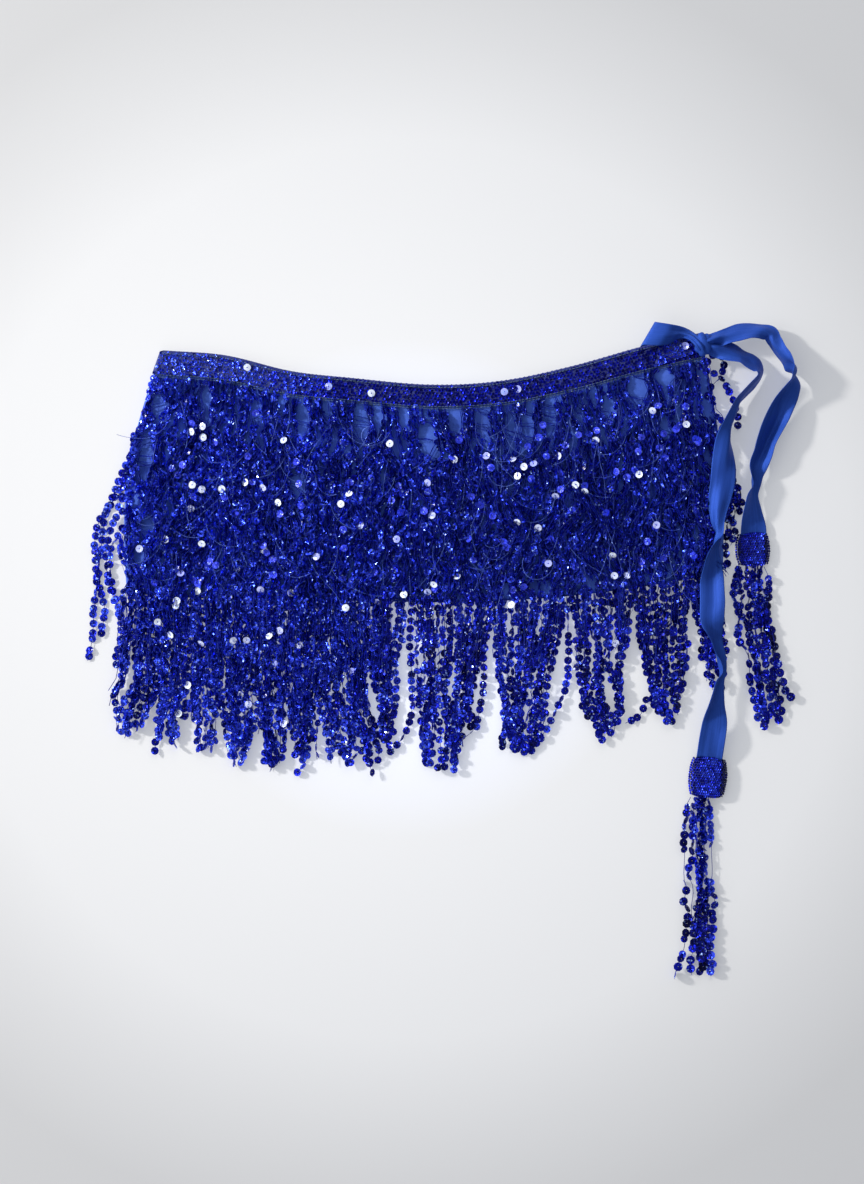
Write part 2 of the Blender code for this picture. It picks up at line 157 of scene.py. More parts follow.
LOCKS = (
    # hem from, hem to, tip x, tip y, tip spread, side strings shorter by, bunches
    (-252, -222, -256, -70, 26, 6, 3),
    (-222, -200, -222, -72, 22, -6, 2),
    (-200, -176, -193, -84, 13, 6, 2),
    (-176, -148, -164, -97, 15, 12, 2),
    (-148, -124, -135, -92, 13, -10, 2),
    (-124, -104, -115, -92, 10, 4, 1),
    (-104, -78, -83, -94, 21, 5, 2),
    (-78, -58, -55, -108, 20, 30, 2),
    (-54, -30, -45, -80, 10, 8, 2),
    (-19, 30, 0, -98, 33, 6, 3),
    (30, 40, 21, -68, 5, 8, 1),
    (42, 98, 61, -88, 30, 10, 3),
    (102, 152, 128, -82, 35, 34, 3),
    (152, 197, 179, -66, 27, 22, 3),
    (197, 224, 217, -36, 17, 6, 2),
)

# Places where the strings part and the base cloth shows
WINDOWS = (
    # x, y, half width, half height
    (-65, 181, 7.5, 17),
    (-52, 189, 5, 12),
    (-31, 186, 4, 12),
    (-13, 171, 8.5, 13),
    (32, 184, 6.5, 17),
    (55, 174, 6.5, 15),
    (68, 177, 6.5, 15),
    (86, 187, 7, 16),
    (131, 193, 6, 9),
    (155, 209, 9.5, 11),
    (177, 217, 10, 7),
    (178, 176, 5.5, 9),
    (-117, 134, 5, 12),
    (-92, 190, 4, 12),
    (-238, 156, 8, 18),
    (-228, 196, 7, 9),
    (-236, 100, 8, 8),
    (-242, 76, 6, 7),
    (-188, 202, 5.5, 8),
    (-128, 196, 4, 10),
    (10, 186, 6, 14),
    (25, 165, 3.5, 8),
    (-97, 146, 4.5, 7),
    (-111, 133, 4, 9),
    (-47, 139, 3.5, 6),
    (54, 131, 4, 9),
    (-150, 190, 4, 12),
    (-188, 186, 4, 10),
    (-112, 186, 6, 14),
    (110, 188, 4, 10),
)

# Strings with a course of their own, at the edges and between the locks
STRAYS = (
    # front row, then the string's course as x, y, z
    (1, (-229, 219, 5.6), (-233, 208, 4.6), (-236, 190, 3.6), (-243, 172, 2.6), (-245, 160, 2.6),
     (-252, 142, 2.4), (-255, 128, 2.0), (-260, 112, 1.8)),
    (1, (-227, 218, 5.8), (-229, 205, 5.6), (-237, 194, 5.0), (-239, 180, 5.0), (-246, 164, 4.2),
     (-249, 150, 4.4), (-254, 134, 3.8), (-256, 118, 3.6)),
    (1, (-226, 216, 6.0), (-231, 200, 5.6), (-232, 188, 5.8), (-240, 170, 5.2), (-243, 150, 5.0),
     (-250, 132, 4.4), (-250, 112, 4.6)),
    (2, (-238, 172, 5.0), (-252, 150, 4.2), (-264, 122, 3.0), (-270, 106, 1.6), (-274, 72, 1.4),
     (-278, 40, 1.4), (-280, 10, 1.4), (-284, -8, 1.4)),
    (2, (-240, 160, 5.0), (-254, 138, 4.0), (-263, 120, 1.8), (-277, 96, 1.8), (-276, 60, 1.8),
     (-270, 34, 1.8), (-273, 14, 1.8)),
    (3, (-249, 108, 5.0), (-259, 92, 3.6), (-266, 78, 1.8), (-264, 52, 1.6), (-257, 24, 1.6),
     (-258, 4, 1.6), (-262, -9, 1.6), (-257, -10, 1.8), (-256, 2, 2.4)),
    (3, (-250, 116, 5.0), (-262, 104, 3.4), (-268, 84, 2.2), (-268, 60, 2.2), (-262, 40, 2.6)),
    (1, (203, 228, 6.0), (212, 222, 5.0), (222, 218, 3.4), (232, 201, 1.8), (236, 184, 1.6),
     (236, 176, 1.6)),
    (1, (209, 226, 5.6), (214, 234, 4.6), (221, 236, 4.0), (225, 229, 3.6), (222, 219, 3.8),
     (214, 210, 4.2), (211, 200, 4.6)),
    (2, (218, 172, 5.2), (226, 160, 4.0), (233, 140, 2.2), (236, 120, 1.8), (232, 104, 1.6)),
    (2, (216, 166, 5.0), (224, 152, 4.0), (228, 134, 2.4), (229, 112, 1.8), (226, 88, 1.8),
     (228, 66, 1.8)),
    (2, (219, 160, 5.0), (228, 142, 3.2), (238, 126, 1.8), (237, 108, 1.8)),
    (2, (220, 150, 5.0), (229, 134, 4.0), (233, 124, 3.2), (229, 108, 3.0), (234, 96, 3.0),
     (230, 84, 3.0)),
    (2, (222, 140, 4.6), (231, 128, 3.6), (226, 114, 3.6), (231, 100, 3.4), (226, 92, 3.4)),
    (4, (-24, 38, 4.0), (-26, 8, 3.0), (-24, -40, 2.4), (-28, -62, 2.2), (-37, -76, 2.0),
     (-44, -83, 2.0)),
    (4, (100, 40, 4.0), (100, -20, 3.0), (94, -40, 3.0), (82, -64, 2.6), (70, -81, 2.2)),
    (4, (170, 40, 4.0), (171, -30, 3.0), (163, -40, 2.6), (158, -52, 2.4), (146, -58, 2.2)),
    (4, (30, 36, 4.0), (33, -20, 3.0), (29, -50, 2.6), (26, -62, 2.4), (17, -70, 2.2)),
    (4, (-122, 36, 4.0), (-116, -40, 3.0), (-108, -72, 2.6), (-109, -88, 2.4), (-116, -97, 2.2)),
    (4, (-141, 36, 4.0), (-139, -50, 3.0), (-137, -68, 2.6), (-133, -74, 2.4), (-132, -66, 2.6)),
    (4, (-84, 36, 4.0), (-86, -60, 3.0), (-83, -78, 2.6), (-74, -86, 2.4), (-65, -80, 2.2)),
    (4, (-224, 36, 4.0), (-225, -20, 3.0), (-224, -54, 2.6), (-229, -72, 2.2), (-230, -82, 2.0)),
)

PAINTED_FLASHES = (
    # x, y of sequins on the front with a painted flash, nearly white
    (-191, 178), (-191, 170), (-200, 174), (-127, 167), (-42, 165), (-157, 134), (-192, 129),
    (-200, 132), (-176, 129), (-143, 129), (-131, 118), (-200, 113), (-75, 125), (-81, 118),
    (-65, 100), (-37, 89), (-221, 89), (-192, 84), (-241, 81), (-143, 81), (-164, 66),
    (-101, 75), (-209, 62), (-145, 49), (-195, 48), (-212, 40), (-213, 36), (-228, 23),
    (-217, 12), (-130, 16), (-192, 5), (-167, 8), (-114, 5), (-134, -10), (-72, -16),
    (-203, -28), (-155, -43), (-77, 34), (-53, 38), (-31, 45), (167, 191), (194, 181),
    (122, 168), (35, 156), (9, 152), (56, 153), (72, 150), (92, 155), (65, 146),
    (60, 139), (-12, 134), (106, 132), (113, 127), (90, 123), (156, 140), (-8, 108),
    (170, 100), (84, 70), (135, 75), (136, 60), (147, 60), (158, 69), (-7, 53),
    (-12, 46), (11, 59), (54, 37), (138, 6), (59, 102), (76, 98), (-121, 46),
    (-157, 8), (-210, -50), (193, 243), (-138, 12), (-126, -58), (-161, -35),
)

PAINTED_BAND_FLASHES = ((-156, 225), (-57, 205), (49, 207), (60, 209), (-91, 212))

LONG_TAIL = (
    # x, y, z, width, roll, crease
    (210, 243, 12.4, 10, 0, 0),
    (217, 240.6, 12.2, 13, 10, -1.6),
    (224, 239, 12, 16, 15, 0.8),
    (231, 237, 11.6, 18, 30, 1.2),
    (238, 234.2, 11.2, 19, 48, 0.6),
    (244, 230.6, 11, 20, 46, 0),
    (249.5, 227, 11, 20, 50, 0),
    (252.6, 223, 11, 20, 66, 0),
    (252, 217.5, 11, 20, 76, 0),
    (246.6, 211, 11.4, 20, 73, 0),
    (240, 204.4, 11.8, 19, 73, 0.4),
    (235, 197.6, 12.4, 18, 70, 0),
    (232, 189.4, 12.8, 18, 62, -0.6),
    (227.8, 179.2, 13, 18, 58, -1.6),
    (225.8, 169.2, 13, 18, 44, -3),
    (224.8, 157.5, 12.8, 19, 28, -3),
    (223.6, 144, 12.4, 20, 10, -1.6),
    (222.6, 133, 12.2, 19.6, 1, -0.6),
    (220.4, 122, 12.4, 18, -7, 0),
    (218.6, 111.6, 12.8, 14.5, -16, 0.2),
    (218, 101.5, 13.2, 11, -32, 0.3),
    (218.7, 93.4, 13.4, 9.5, -66, 0.8),
    (217, 86.8, 13.4, 10, -112, 0.6),
    (215, 76.7, 13.2, 15, -132, 0.6),
    (214.6, 64.7, 10.8, 17.5, -158, 0.2),
    (214.4, 53.7, 9.9, 19.2, -183, 0),
    (214.7, 39.9, 11.4, 19.8, -187, 0),
    (214.3, 30.7, 12.2, 19.6, -185, 0),
    (214.3, 22.5, 12.6, 18.8, -172, 0),
    (215.4, 16, 11.8, 16.5, -152, -0.4),
    (216.9, 8.5, 10.4, 14, -136, -0.6),
    (219.2, -1.4, 10.2, 12, -132, -0.2),
    (221.3, -9, 10, 9, -122, 0),
    (222.4, -17.3, 9.8, 8, -116, 0),
    (220.2, -25, 9.7, 10, -140, 0.6),
    (218.7, -34.4, 9.6, 13, -146, 0.8),
    (217.5, -44.2, 9.8, 17, -150, 0.4),
    (216.6, -57.7, 9.2, 20, -178, -0.3),
    (214.8, -70.5, 8, 20.6, -186, -1.1),
    (212.8, -86.5, 4.8, 20.6, -182, -0.3),
)

SHORT_TAIL = (
    # x, y, z, width, roll, crease
    (207, 245, 14, 10, 0, 0),
    (217, 247.6, 13.7, 12, 6, -1.8),
    (226, 250.4, 13, 14, 20, 1.4),
    (236, 253.4, 12.2, 18, 34, 0.8),
    (246, 255, 11.7, 18, 44, 0.4),
    (254.5, 255, 11.4, 15, 34, 0),
    (260.8, 252.4, 11.2, 13, 4, -0.3),
    (263, 246.4, 11, 12.5, -34, -0.5),
    (266.8, 239.6, 11.2, 14, -54, -0.3),
    (272.2, 232.6, 11.7, 17, -64, 0.6),
    (277.4, 226.8, 12, 18.4, -74, 3.8),
    (280.2, 220.8, 12.2, 18.4, -106, 3),
    (279.4, 214, 11.8, 19.4, -122, -0.8),
    (276, 207, 10.8, 19.6, -138, -2.2),
    (270.6, 197, 9.4, 19.4, -160, -3.8),
    (266.4, 187, 8.2, 19, -176, -5),
    (262, 177, 7.6, 17.4, -184, -5.2),
    (258, 167.4, 7.4, 15.6, -184, -5),
    (255, 157.8, 7.4, 15.4, -180, -4.2),
    (251, 147.8, 7.4, 15.4, -168, -2.4),
    (248.8, 139, 7.4, 12.6, -140, -0.6),
    (248.4, 131, 7.4, 11, -128, 0),
    (246.8, 122, 7.6, 15.6, -136, 0.8),
    (247, 111, 6.2, 19, -150, 0.4),
    (248, 99, 4.4, 20.6, -172, -0.4),
    (248.4, 92, 3, 20.6, -180, -0.4),
)

LOOP = (
    # one edge x, y, then the other edge x, y, and z, crease
    (205, 250, 203, 246, 10.2, 0),
    (197, 253, 196, 248.5, 9.4, 0.3),
    (186, 257, 183, 247.5, 9, 0.3),
    (171, 261, 160, 242.5, 9.2, 0),
    (168.8, 261.4, 157.8, 242.2, 12, 0),
    (171, 260.8, 160, 242.8, 15, 0),
    (180.4, 259.2, 171, 242.2, 17, 0.5),
    (188, 258.2, 179.5, 243.6, 14, 1),
    (194, 256.6, 185.5, 247.4, 11.4, 1.6),
    (199.5, 253.6, 190.8, 248.6, 11.4, 2.4),
    (205, 248.5, 196, 246.6, 14.6, 2.6),
    (209.8, 242, 200.8, 241, 17, 2.2),
    (212, 235.4, 205, 235.6, 13.6, 1.2),
)

BAND_END = (
    # one edge x, y, then the other edge x, y, and z
    (173, 245.5, 169, 226.5, 6.9),
    (190, 250.4, 187, 233, 6.9),
    (208, 251, 207, 239, 6.9),
)

# A pad's half size within its rolled edge, how far its sides draw in at top and bottom and how
# much of its thickness its rim keeps, as shares. Its sequins take up PAD_COVER of its thickness.
PAD_HALF = 0.485
PAD_DRAWN_IN = 0.13
PAD_RIM = 0.4
PAD_COVER = 0.9

CAPS = (
    # piece, node, centre x, y, width, height, thickness, turn
    ("cap_pad_short", "end_cap_short", 248, 81, 26, 26, 6.2, 2),
    ("cap_pad_long", "end_cap_long", 212, -101, 29, 32, 8.4, -5),
)

SHORT_TASSEL = (
    # how neat a string is from its cap to its tip, then its course as x, y
    ((0.5, 0.8, 1.0, 1.0), (236, 67), (233, 50), (234, 40), (237, 28), (236, 14), (238, 7), (244, -4),
     (245, -18), (248, -34), (251, -47), (251, -53)),
    ((0.1, 0.5, 1.0, 1.0), (239, 67), (237, 52), (239, 42), (238, 31), (244, 20), (246, 8), (250, -6),
     (252, -19), (254, -36), (257, -48), (258, -60)),
    ((0.2, 0.8, 1.0, 0.7), (243, 67), (243, 51), (245, 43), (244, 33), (245, 27), (244, 14), (247, 3),
     (250, -5), (252, -19), (254, -33), (256, -46), (260, -52)),
    ((0.0, 0.3, 0.6, -0.1, 0.9, 1.0), (247, 67), (249, 52), (250, 44), (251, 34), (249, 27), (250, 15),
     (252, 5), (251, -8), (252, -26), (255, -40), (257, -60)),
    ((0.1, 0.6, 0.8, 0.4, 1.0, 1.0), (252, 67), (254, 54), (257, 47), (258, 40), (257, 34), (258, 23),
     (259, 12), (259, -9), (258, -21), (261, -34), (263, -46), (261, -53)),
    ((-0.6, 0.9, 1.0, 1.0, 1.0, 1.0), (257, 67), (260, 59), (260, 46), (259, 30), (260, 23), (263, 15),
     (265, 4), (268, -11), (271, -25), (273, -31), (278, -37)),
    ((0.0, 0.2, 0.7, 1.0, 1.0), (254, 67), (253, 50), (255, 36), (258, 24), (261, 12), (264, 0),
     (264, -14), (265, -24), (268, -31), (270, -46), (268, -58)),
    ((0.0, 0.2, 0.4, 0.9, 1.0), (250, 67), (247, 54), (248, 40), (253, 30), (254, 18), (257, 4),
     (258, -8), (261, -20), (266, -33), (267, -48), (266, -52)),
)

LONG_TASSEL = (
    # how neat a string is from its cap to its tip, then its course as x, y
    ((-1.0, 0.6, 0.9, 0.9, -0.4, -0.9, 0.8, 1.0, 1.0, 1.0, -0.6, 1.0, 1.0), (198, -117), (195, -122),
     (195, -128), (194, -138), (193, -148), (193, -168), (193, -180), (194, -192), (192, -201),
     (196, -207), (195, -218), (193, -233), (192, -240), (188, -252), (186, -259)),
    ((-0.5, 0.7, 0.9, 0.9, 0.9, 0.2, -0.9, -0.6, 1.0, 1.0, 1.0, 1.0), (203, -117), (201, -123),
     (200, -143), (199, -158), (200, -166), (197, -172), (197, -181), (200, -190), (199, -205),
     (200, -218), (201, -229), (200, -240), (198, -250), (199, -259)),
    ((0.0, 0.0, 0.0, 0.1, 0.4, 0.9, 1.0), (203, -118), (204, -131), (202, -145), (204, -158),
     (203, -170), (205, -182), (204, -195), (203, -208), (207, -222), (208, -235), (207, -250)),
    ((0.0, 0.0, 0.0, 0.1, 0.4, 0.9, 1.0), (206, -118), (205, -125), (207, -140), (205, -152),
     (207, -165), (206, -178), (206, -190), (206, -200), (204, -211), (203, -223), (206, -232),
     (204, -246), (205, -256)),
    ((0.0, 0.0, 0.0, 0.0, 0.3, 0.8, 1.0), (208, -118), (206, -134), (209, -148), (206, -160),
     (208, -174), (205, -187), (209, -198), (207, -210), (209, -224), (206, -238), (208, -252)),
    ((0.0, 0.0, 0.2, 0.3, 0.7, 1.0, 1.0), (209, -118), (210, -135), (208, -150), (210, -165),
     (210, -178), (212, -189), (212, -199), (211, -212), (212, -225), (212, -237), (211, -250)),
    ((0.6, 0.8, 0.8, -0.3, -0.3, 0.3, 0.9, 1.0, 1.0, 1.0, 1.0), (213, -118), (213, -129), (214, -142),
     (215, -155), (215, -168), (215, -180), (214, -188), (218, -200), (215, -209), (216, -220),
     (214, -231), (214, -243), (215, -251), (213, -258)),
)

THREADS = {
    # material: how fine its mottling is, its dark colour and its light colour
    "string_thread": (260.0, (0.0008, 0.0040, 0.180), (0.0045, 0.0170, 0.380)),
    "blue_thread": (200.0, (0.006, 0.016, 0.200), (0.045, 0.085, 0.480)),
    "loose_thread": (120.0, (0.03, 0.06, 0.40), (0.16, 0.26, 0.78)),
    "seam_thread": (400.0, (0.035, 0.065, 0.130), (0.110, 0.160, 0.270)),
}


def between(low, high, value):
    """How far value has gone from low to high, held between 0 and 1."""
    return np.clip((value - low) / (high - low), 0.0, 1.0)


def eased(share):
    """The same share with a slow start and a slow end."""
    return share * share * (3.0 - 2.0 * share)


def through(rows, shares):
    """Rows read from a table at shares of its length, on a smooth curve through its rows."""
    table = np.asarray(rows, dtype=float)
    last = len(table) - 1
    place = np.clip(np.atleast_1d(shares), 0.0, 1.0) * last
    start = np.minimum(place.astype(int), last - 1)
    t = (place - start)[:, None]
    ends = np.vstack((2.0 * table[0] - table[1], table, 2.0 * table[last] - table[last - 1]))
    before, here, there, after = ends[start], ends[start + 1], ends[start + 2], ends[start + 3]
    return 0.5 * (
        2.0 * here
        + (there - before) * t
        + (2.0 * before - 5.0 * here + 4.0 * there - after) * t**2
        + (3.0 * here - before - 3.0 * there + after) * t**3
    )


ACROSS = np.linspace(0.0, 1.0, 401)
EDGES = through(OUTLINE, ACROSS)


def outline(across, down):
    """Place on the front, across from 0 at the fold to 1, down from the waist to the hem."""
    waist_x, waist_y, hem_x, hem_y = (np.interp(across, ACROSS, EDGES[:, i]) for i in range(4))
    belly = np.sin(math.pi * np.clip(down, 0.0, 1.0))
    x = waist_x + (hem_x - waist_x) * down
    x = x - LEFT_BULGE * belly * (1.0 - between(0.0, 0.14, across)) ** 2
    x = x + RIGHT_BULGE * belly * between(0.86, 1.0, across) ** 2
    return x, waist_y + (hem_y - waist_y) * down


def across_at_hem(hem_x):
    """Place across the front whose hem lies at this x."""
    return np.interp(hem_x, EDGES[:, 2], ACROSS)


def folds(across, down):
    """Lift of the front cloth where it falls in soft upright folds."""
    wave = 0.5 - 0.5 * np.cos(2.0 * math.pi * FOLDS * across)
    return FOLD_HEIGHT * wave * between(RAMP_TO, FOLDS_FULL_AT, down)


def layer_height(heights, down):
    """Height of a cloth layer, which lies lower below the waistband than under it."""
    at_band, below = heights
    return at_band + (below - at_band) * between(LEVEL_TO, RAMP_TO, down)


def cloth_top(across, down):
    return layer_height(FRONT_PANEL_Z, down) + folds(across, down) + CLOTH_TOP


def drift(x, y, seed, size, scale):
    """A wander shared by all that lies near a place, about size far in waves about scale long."""
    rng = np.random.default_rng(seed)
    total = np.zeros(np.broadcast(x, y).shape)
    for _ in range(6):
        angle = rng.uniform(0.0, 2.0 * math.pi)
        wave = rng.uniform(0.6, 1.6) / scale
        phase = rng.uniform(0.0, 2.0 * math.pi)
        run = x * math.cos(angle) + y * math.sin(angle)
        total = total + np.sin(2.0 * math.pi * wave * run + phase)
    return size * total / 2.4


def part_round_windows(x, y):
    """Pushes strings aside where the base cloth shows between them."""
    for centre_x, centre_y, half_width, half_height in WINDOWS:
        aside = x - centre_x
        level = np.exp(-(((y - centre_y) / half_height) ** 2))
        near = 1.05 * half_width * level * np.exp(-((aside / 16.0) ** 2))
        x = centre_x + np.where(aside >= 0.0, 1.0, -1.0) * np.sqrt(aside**2 + near**2)
    return x


def in_window(x, y, rng):
    """Whether a sequin is missing because the base cloth shows at its place."""
    depth = np.zeros(len(x))
    for centre_x, centre_y, half_width, half_height in WINDOWS:
        away = ((x - centre_x) / half_width) ** 2 + ((y - centre_y) / half_height) ** 2
        depth = np.maximum(depth, 1.6 - away)
    return rng.random(len(x)) < depth


def resampled(points, step):
    """The same course with points a step apart."""
    points = np.asarray(points, dtype=float)
    lengths = np.concatenate(([0.0], np.cumsum(np.linalg.norm(np.diff(points, axis=0), axis=1))))
    count = max(int(lengths[-1] / step), 2)
    places = np.linspace(0.0, lengths[-1], count + 1)
    return np.stack([np.interp(places, lengths, points[:, i]) for i in range(3)], axis=1)


def row_course(row, across, reach, rng):
    """Course of one string of a front row, as far as it lies on the cloth.

    reach is where a string of the two upper rows ends, as a share of the front. Those of the two
    lower rows go on to the hem.
    """
    foot = TIER_FEET[row]
    last = min(reach, 1.0) if row < 2 else 1.0
    down = np.linspace(foot, last, max(int((last - foot) * FRONT_HEIGHT / STEP), 2))
    x, y = outline(across, down)
    left = between(foot, foot + 0.25, down)
    lean = LEAN * eased(between(0.08, 0.32, down)) * eased(1.0 - between(0.45, 1.0, down))
    less_left, less_right = 0.35 + 0.65 * between(-150.0, -40.0, x), 1.0 - between(120.0, 190.0, x)
    x = x + lean * less_left * less_right * (row < 2)
    x = x + drift(x, y, 11 + row, 4.2, 46.0) * left + drift(x, y, 31, 2.0, 17.0) * left
    x = x + np.cumsum(rng.normal(0.0, 0.17, len(x)))
    x = part_round_windows(x, y)
    layer = np.interp(down, *layer_steps(row))
    z = cloth_top(across, down) + STRAND_LIFT + LAYER_PITCH * layer
    return np.stack((x, y, z), axis=1)


def layer_steps(row):
    """How many strings lie under a string of this row, by its place down the front."""
    places, layers = [TIER_FEET[row]], [0.0]
    for count, foot in enumerate(TIER_FEET[row + 1 :]):
        if count + row > 1:
            places.append(foot - HEADER_HEIGHT - CLIMB_FROM)
            layers.append(float(count))
        places.append(foot - HEADER_HEIGHT - CLIMBED_BY)
        layers.append(count + 1.0)
    return places, layers


def thick_left(x):
    """1 where the fringe is thick and straight, fading to 0 where it is loose."""
    return 1.0 - float(between(*THICK_LEFT_TO, x))


def hem_place(share, left_share, low, high):
    """Hem x of a string, by its share of the strings of its row from left to right."""
    return float(np.interp(share, (0.0, left_share, 1.0), (low, HALF_WAY, high)))


def lock_of(hem_x):
    """The lock that a string joins below the hem, or none where the floor shows between two."""
    for lock in LOCKS:
        if hem_x < lock[1]:
            return lock if hem_x >= lock[0] - 3.0 else None
    return LOCKS[-1]


def fall_course(start, hem_x, reach, layer, rng):
    """Course of a string below the hem, gathered into a bunch of its lock.

    reach is the share of its way to the lock's tip that it falls, and layer is how many rows of
    strings it lies on.
    """
    low, high, tip_x, tip_y, spread, shorter, bunches = lock_of(hem_x)
    share = float(np.clip((hem_x - low) / (high - low) + rng.normal(0.0, 0.03), 0.0, 1.0))
    bunch = (min(int(share * bunches), bunches - 1) + 0.5) / bunches
    end_y = tip_y + shorter * abs(2.0 * share - 1.0) + abs(rng.normal(0.0, 5.0))
    end_y = start[1] + (end_y - start[1]) * reach
    y = np.arange(start[1], end_y, -STEP)
    along = between(start[1], tip_y, y)
    # Where the fringe is thick, the strings go further down before they fan out and gather
    thick = thick_left(hem_x)
    fan = eased(between(0.5 * thick, 0.85 + 0.15 * thick, along))
    gather = eased(between(0.6 * thick, 0.3 + 0.6 * thick, along))
    width = (high - low) * (1.0 - fan) + spread * fan
    x = start[0] * (1.0 - fan) + (tip_x + (share - 0.5) * spread) * fan
    x = x + (bunch - share) * width * (0.26 - 0.04 * thick) * gather
    x = x + 1.8 * np.sin(y / 14.0) * along + rng.normal(0.0, 0.8) * along
    sway = rng.normal(0.0, 2.2) * np.sin(y / rng.uniform(11.0, 24.0) + rng.uniform(0.0, TURN))
    x = x + sway * between(0.0, 0.2, along)
    slow, quick = drift(x, y, 57, 2.6, 38.0), drift(x, y, 58, 1.0, 13.0)
    x = x + slow * along * (1.0 - 0.5 * along) + quick * along
    wander = np.cumsum(rng.normal(0.0, 0.2, len(x)))
    x = x + wander - wander[0]
    settle = eased(between(0.0, HEM_DROP, start[1] - y))
    floor = FLOOR_LIFT + 1.8 * min(layer, 1) + 1.2 * layer
    z = start[2] + (floor - start[2]) * settle
    return np.stack((x, y, z), axis=1)


def place_points(data, points):
    """Moves the points of a mesh to places in millimetres."""
    data.vertices.foreach_set("co", (np.asarray(points) * MM).astype(np.float32).ravel())


def read_points(data):
    """The points of a mesh in its own units, a row for each."""
    points = np.empty(len(data.vertices) * 3, np.float32)
    data.vertices.foreach_get("co", points)
    return points.reshape(-1, 3)


def mesh_object(name, points, faces, finish):
    """A mesh object from arrays in millimetres, with faces that all have as many corners."""
    data = bpy.data.meshes.new(name)
    faces = np.asarray(faces, dtype=np.int32)
    corners = faces.shape[1]
    data.vertices.add(len(points))
    place_points(data, points)
    data.loops.add(len(faces) * corners)
    data.loops.foreach_set("vertex_index", faces.ravel())
    data.polygons.add(len(faces))
    starts = np.arange(0, len(faces) * corners, corners, dtype=np.int32)
    data.polygons.foreach_set("loop_start", starts)
    data.update(calc_edges=True)
    data.materials.append(finish)
    piece = bpy.data.objects.new(name, data)
    bpy.context.scene.collection.objects.link(piece)
    return piece


def point_values(piece, name, values):
    attribute = piece.data.attributes.new(name, "FLOAT", "POINT")
    attribute.data.foreach_set("value", np.asarray(values, dtype=np.float32))


def seated(piece, slot, *nodes):
    """Rides on the one body and stands for its solids. slot is not used."""
    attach(piece, "root")
    if nodes:
        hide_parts(*nodes)


def disc_template(radius, sides, dish, hole):
    """Points, faces and hole mask of one cup sequin: a rim, a shoulder and the thread in its hole."""
    rings = ((radius, 0.0, 0.0), (hole * 1.9, -dish, 0.0), (hole * 0.3, -dish * 1.2, 1.0))
    points, mask = [], []
    for ring, (reach, height, inside) in enumerate(rings):
        for i in range(sides):
            angle = 2.0 * math.pi * (i + 0.5 * (ring == 1)) / sides
            points.append((reach * math.cos(angle), reach * math.sin(angle), height))
            mask.append(inside)
    faces = []
    for ring in range(2):
        for i in range(sides):
            j = (i + 1) % sides
            a, b = ring * sides + i, ring * sides + j
            faces.append((a, b, b + sides, a + sides))
    return np.array(points), np.array(faces), np.array(mask)


def disc_values(piece, template, tint, crumple):
    """Each sequin's tint and crumple on its points, dark where its thread passes through."""
    mask = template[2]
    tints = tint[:, None] * (1.0 - mask)[None, :] - 1.6 * mask[None, :]
    point_values(piece, "tint", tints.ravel())
    point_values(piece, "crumple", np.repeat(crumple, len(mask)))


def discs(places, ahead, tips, template, rng, flip=0.4, rough=0.1, size=1.0):
    """Sequins at places, with their own tilt about their string and along it."""
    points, faces, _ = template
    count = len(places)
    size = np.broadcast_to(size, count)[:, None, None]
    ahead = ahead / np.linalg.norm(ahead, axis=1)[:, None]
    up = np.tile((0.0, 0.0, 1.0), (count, 1))
    side = np.cross(up, ahead)
    side /= np.maximum(np.linalg.norm(side, axis=1), 1e-6)[:, None]
    up = np.cross(ahead, side)
    roll, pitch = tips[:, 0:1], tips[:, 1:2]
    side, up = side * np.cos(roll) + up * np.sin(roll), up * np.cos(roll) - side * np.sin(roll)
    ahead, up = ahead * np.cos(pitch) + up * np.sin(pitch), up * np.cos(pitch) - ahead * np.sin(pitch)
    turned = np.where(rng.random(count) < flip, -1.0, 1.0)[:, None]
    spin = rng.uniform(0.0, 2.0 * math.pi, count)[:, None]
    first = ahead * np.cos(spin) + side * np.sin(spin)
    second = (side * np.cos(spin) - ahead * np.sin(spin)) * turned
    third = up * turned
    height = points[None, :, 2] + rng.normal(0.0, rough, (count, len(points)))
    made = (
        places[:, None, :]
        + first[:, None, :] * points[None, :, 0:1] * size
        + second[:, None, :] * points[None, :, 1:2] * size
        + third[:, None, :] * height[:, :, None]
    )
    numbered = faces[None, :, :] + (np.arange(count) * len(points))[:, None, None]
    return made.reshape(-1, 3), numbered.reshape(-1, 4)


def tube(course, radius, sides=3):
    """Points and faces of a thin thread along a course."""
    course = np.asarray(course)
    ahead = np.gradient(course, axis=0)
    ahead /= np.maximum(np.linalg.norm(ahead, axis=1), 1e-6)[:, None]
    side = np.cross(np.tile((0.0, 0.0, 1.0), (len(course), 1)), ahead)
    side /= np.maximum(np.linalg.norm(side, axis=1), 1e-6)[:, None]
    up = np.cross(ahead, side)
    angles = 2.0 * math.pi * np.arange(sides) / sides
    cos, sin = np.cos(angles)[None, :, None], np.sin(angles)[None, :, None]
    rings = course[:, None, :] + radius * (side[:, None, :] * cos + up[:, None, :] * sin)
    start = (np.arange(len(course) - 1) * sides)[:, None]
    here = np.arange(sides)[None, :]
    there = (here + 1) % sides
    corners = (start + here, start + there, start + sides + there, start + sides + here)
    faces = np.stack(corners, axis=2)
    return rings.reshape(-1, 3), faces.reshape(-1, 4)


def thread_object(name, tubes, finish, slot, *nodes):
    """Several threads as one mesh object."""
    points, faces, shift = [], [], 0
    for some_points, some_faces in tubes:
        points.append(some_points)
        faces.append(some_faces + shift)
        shift += len(some_points)
    piece = mesh_object(name, np.vstack(points), np.vstack(faces), finish)
    seated(piece, slot, *nodes)
    return piece


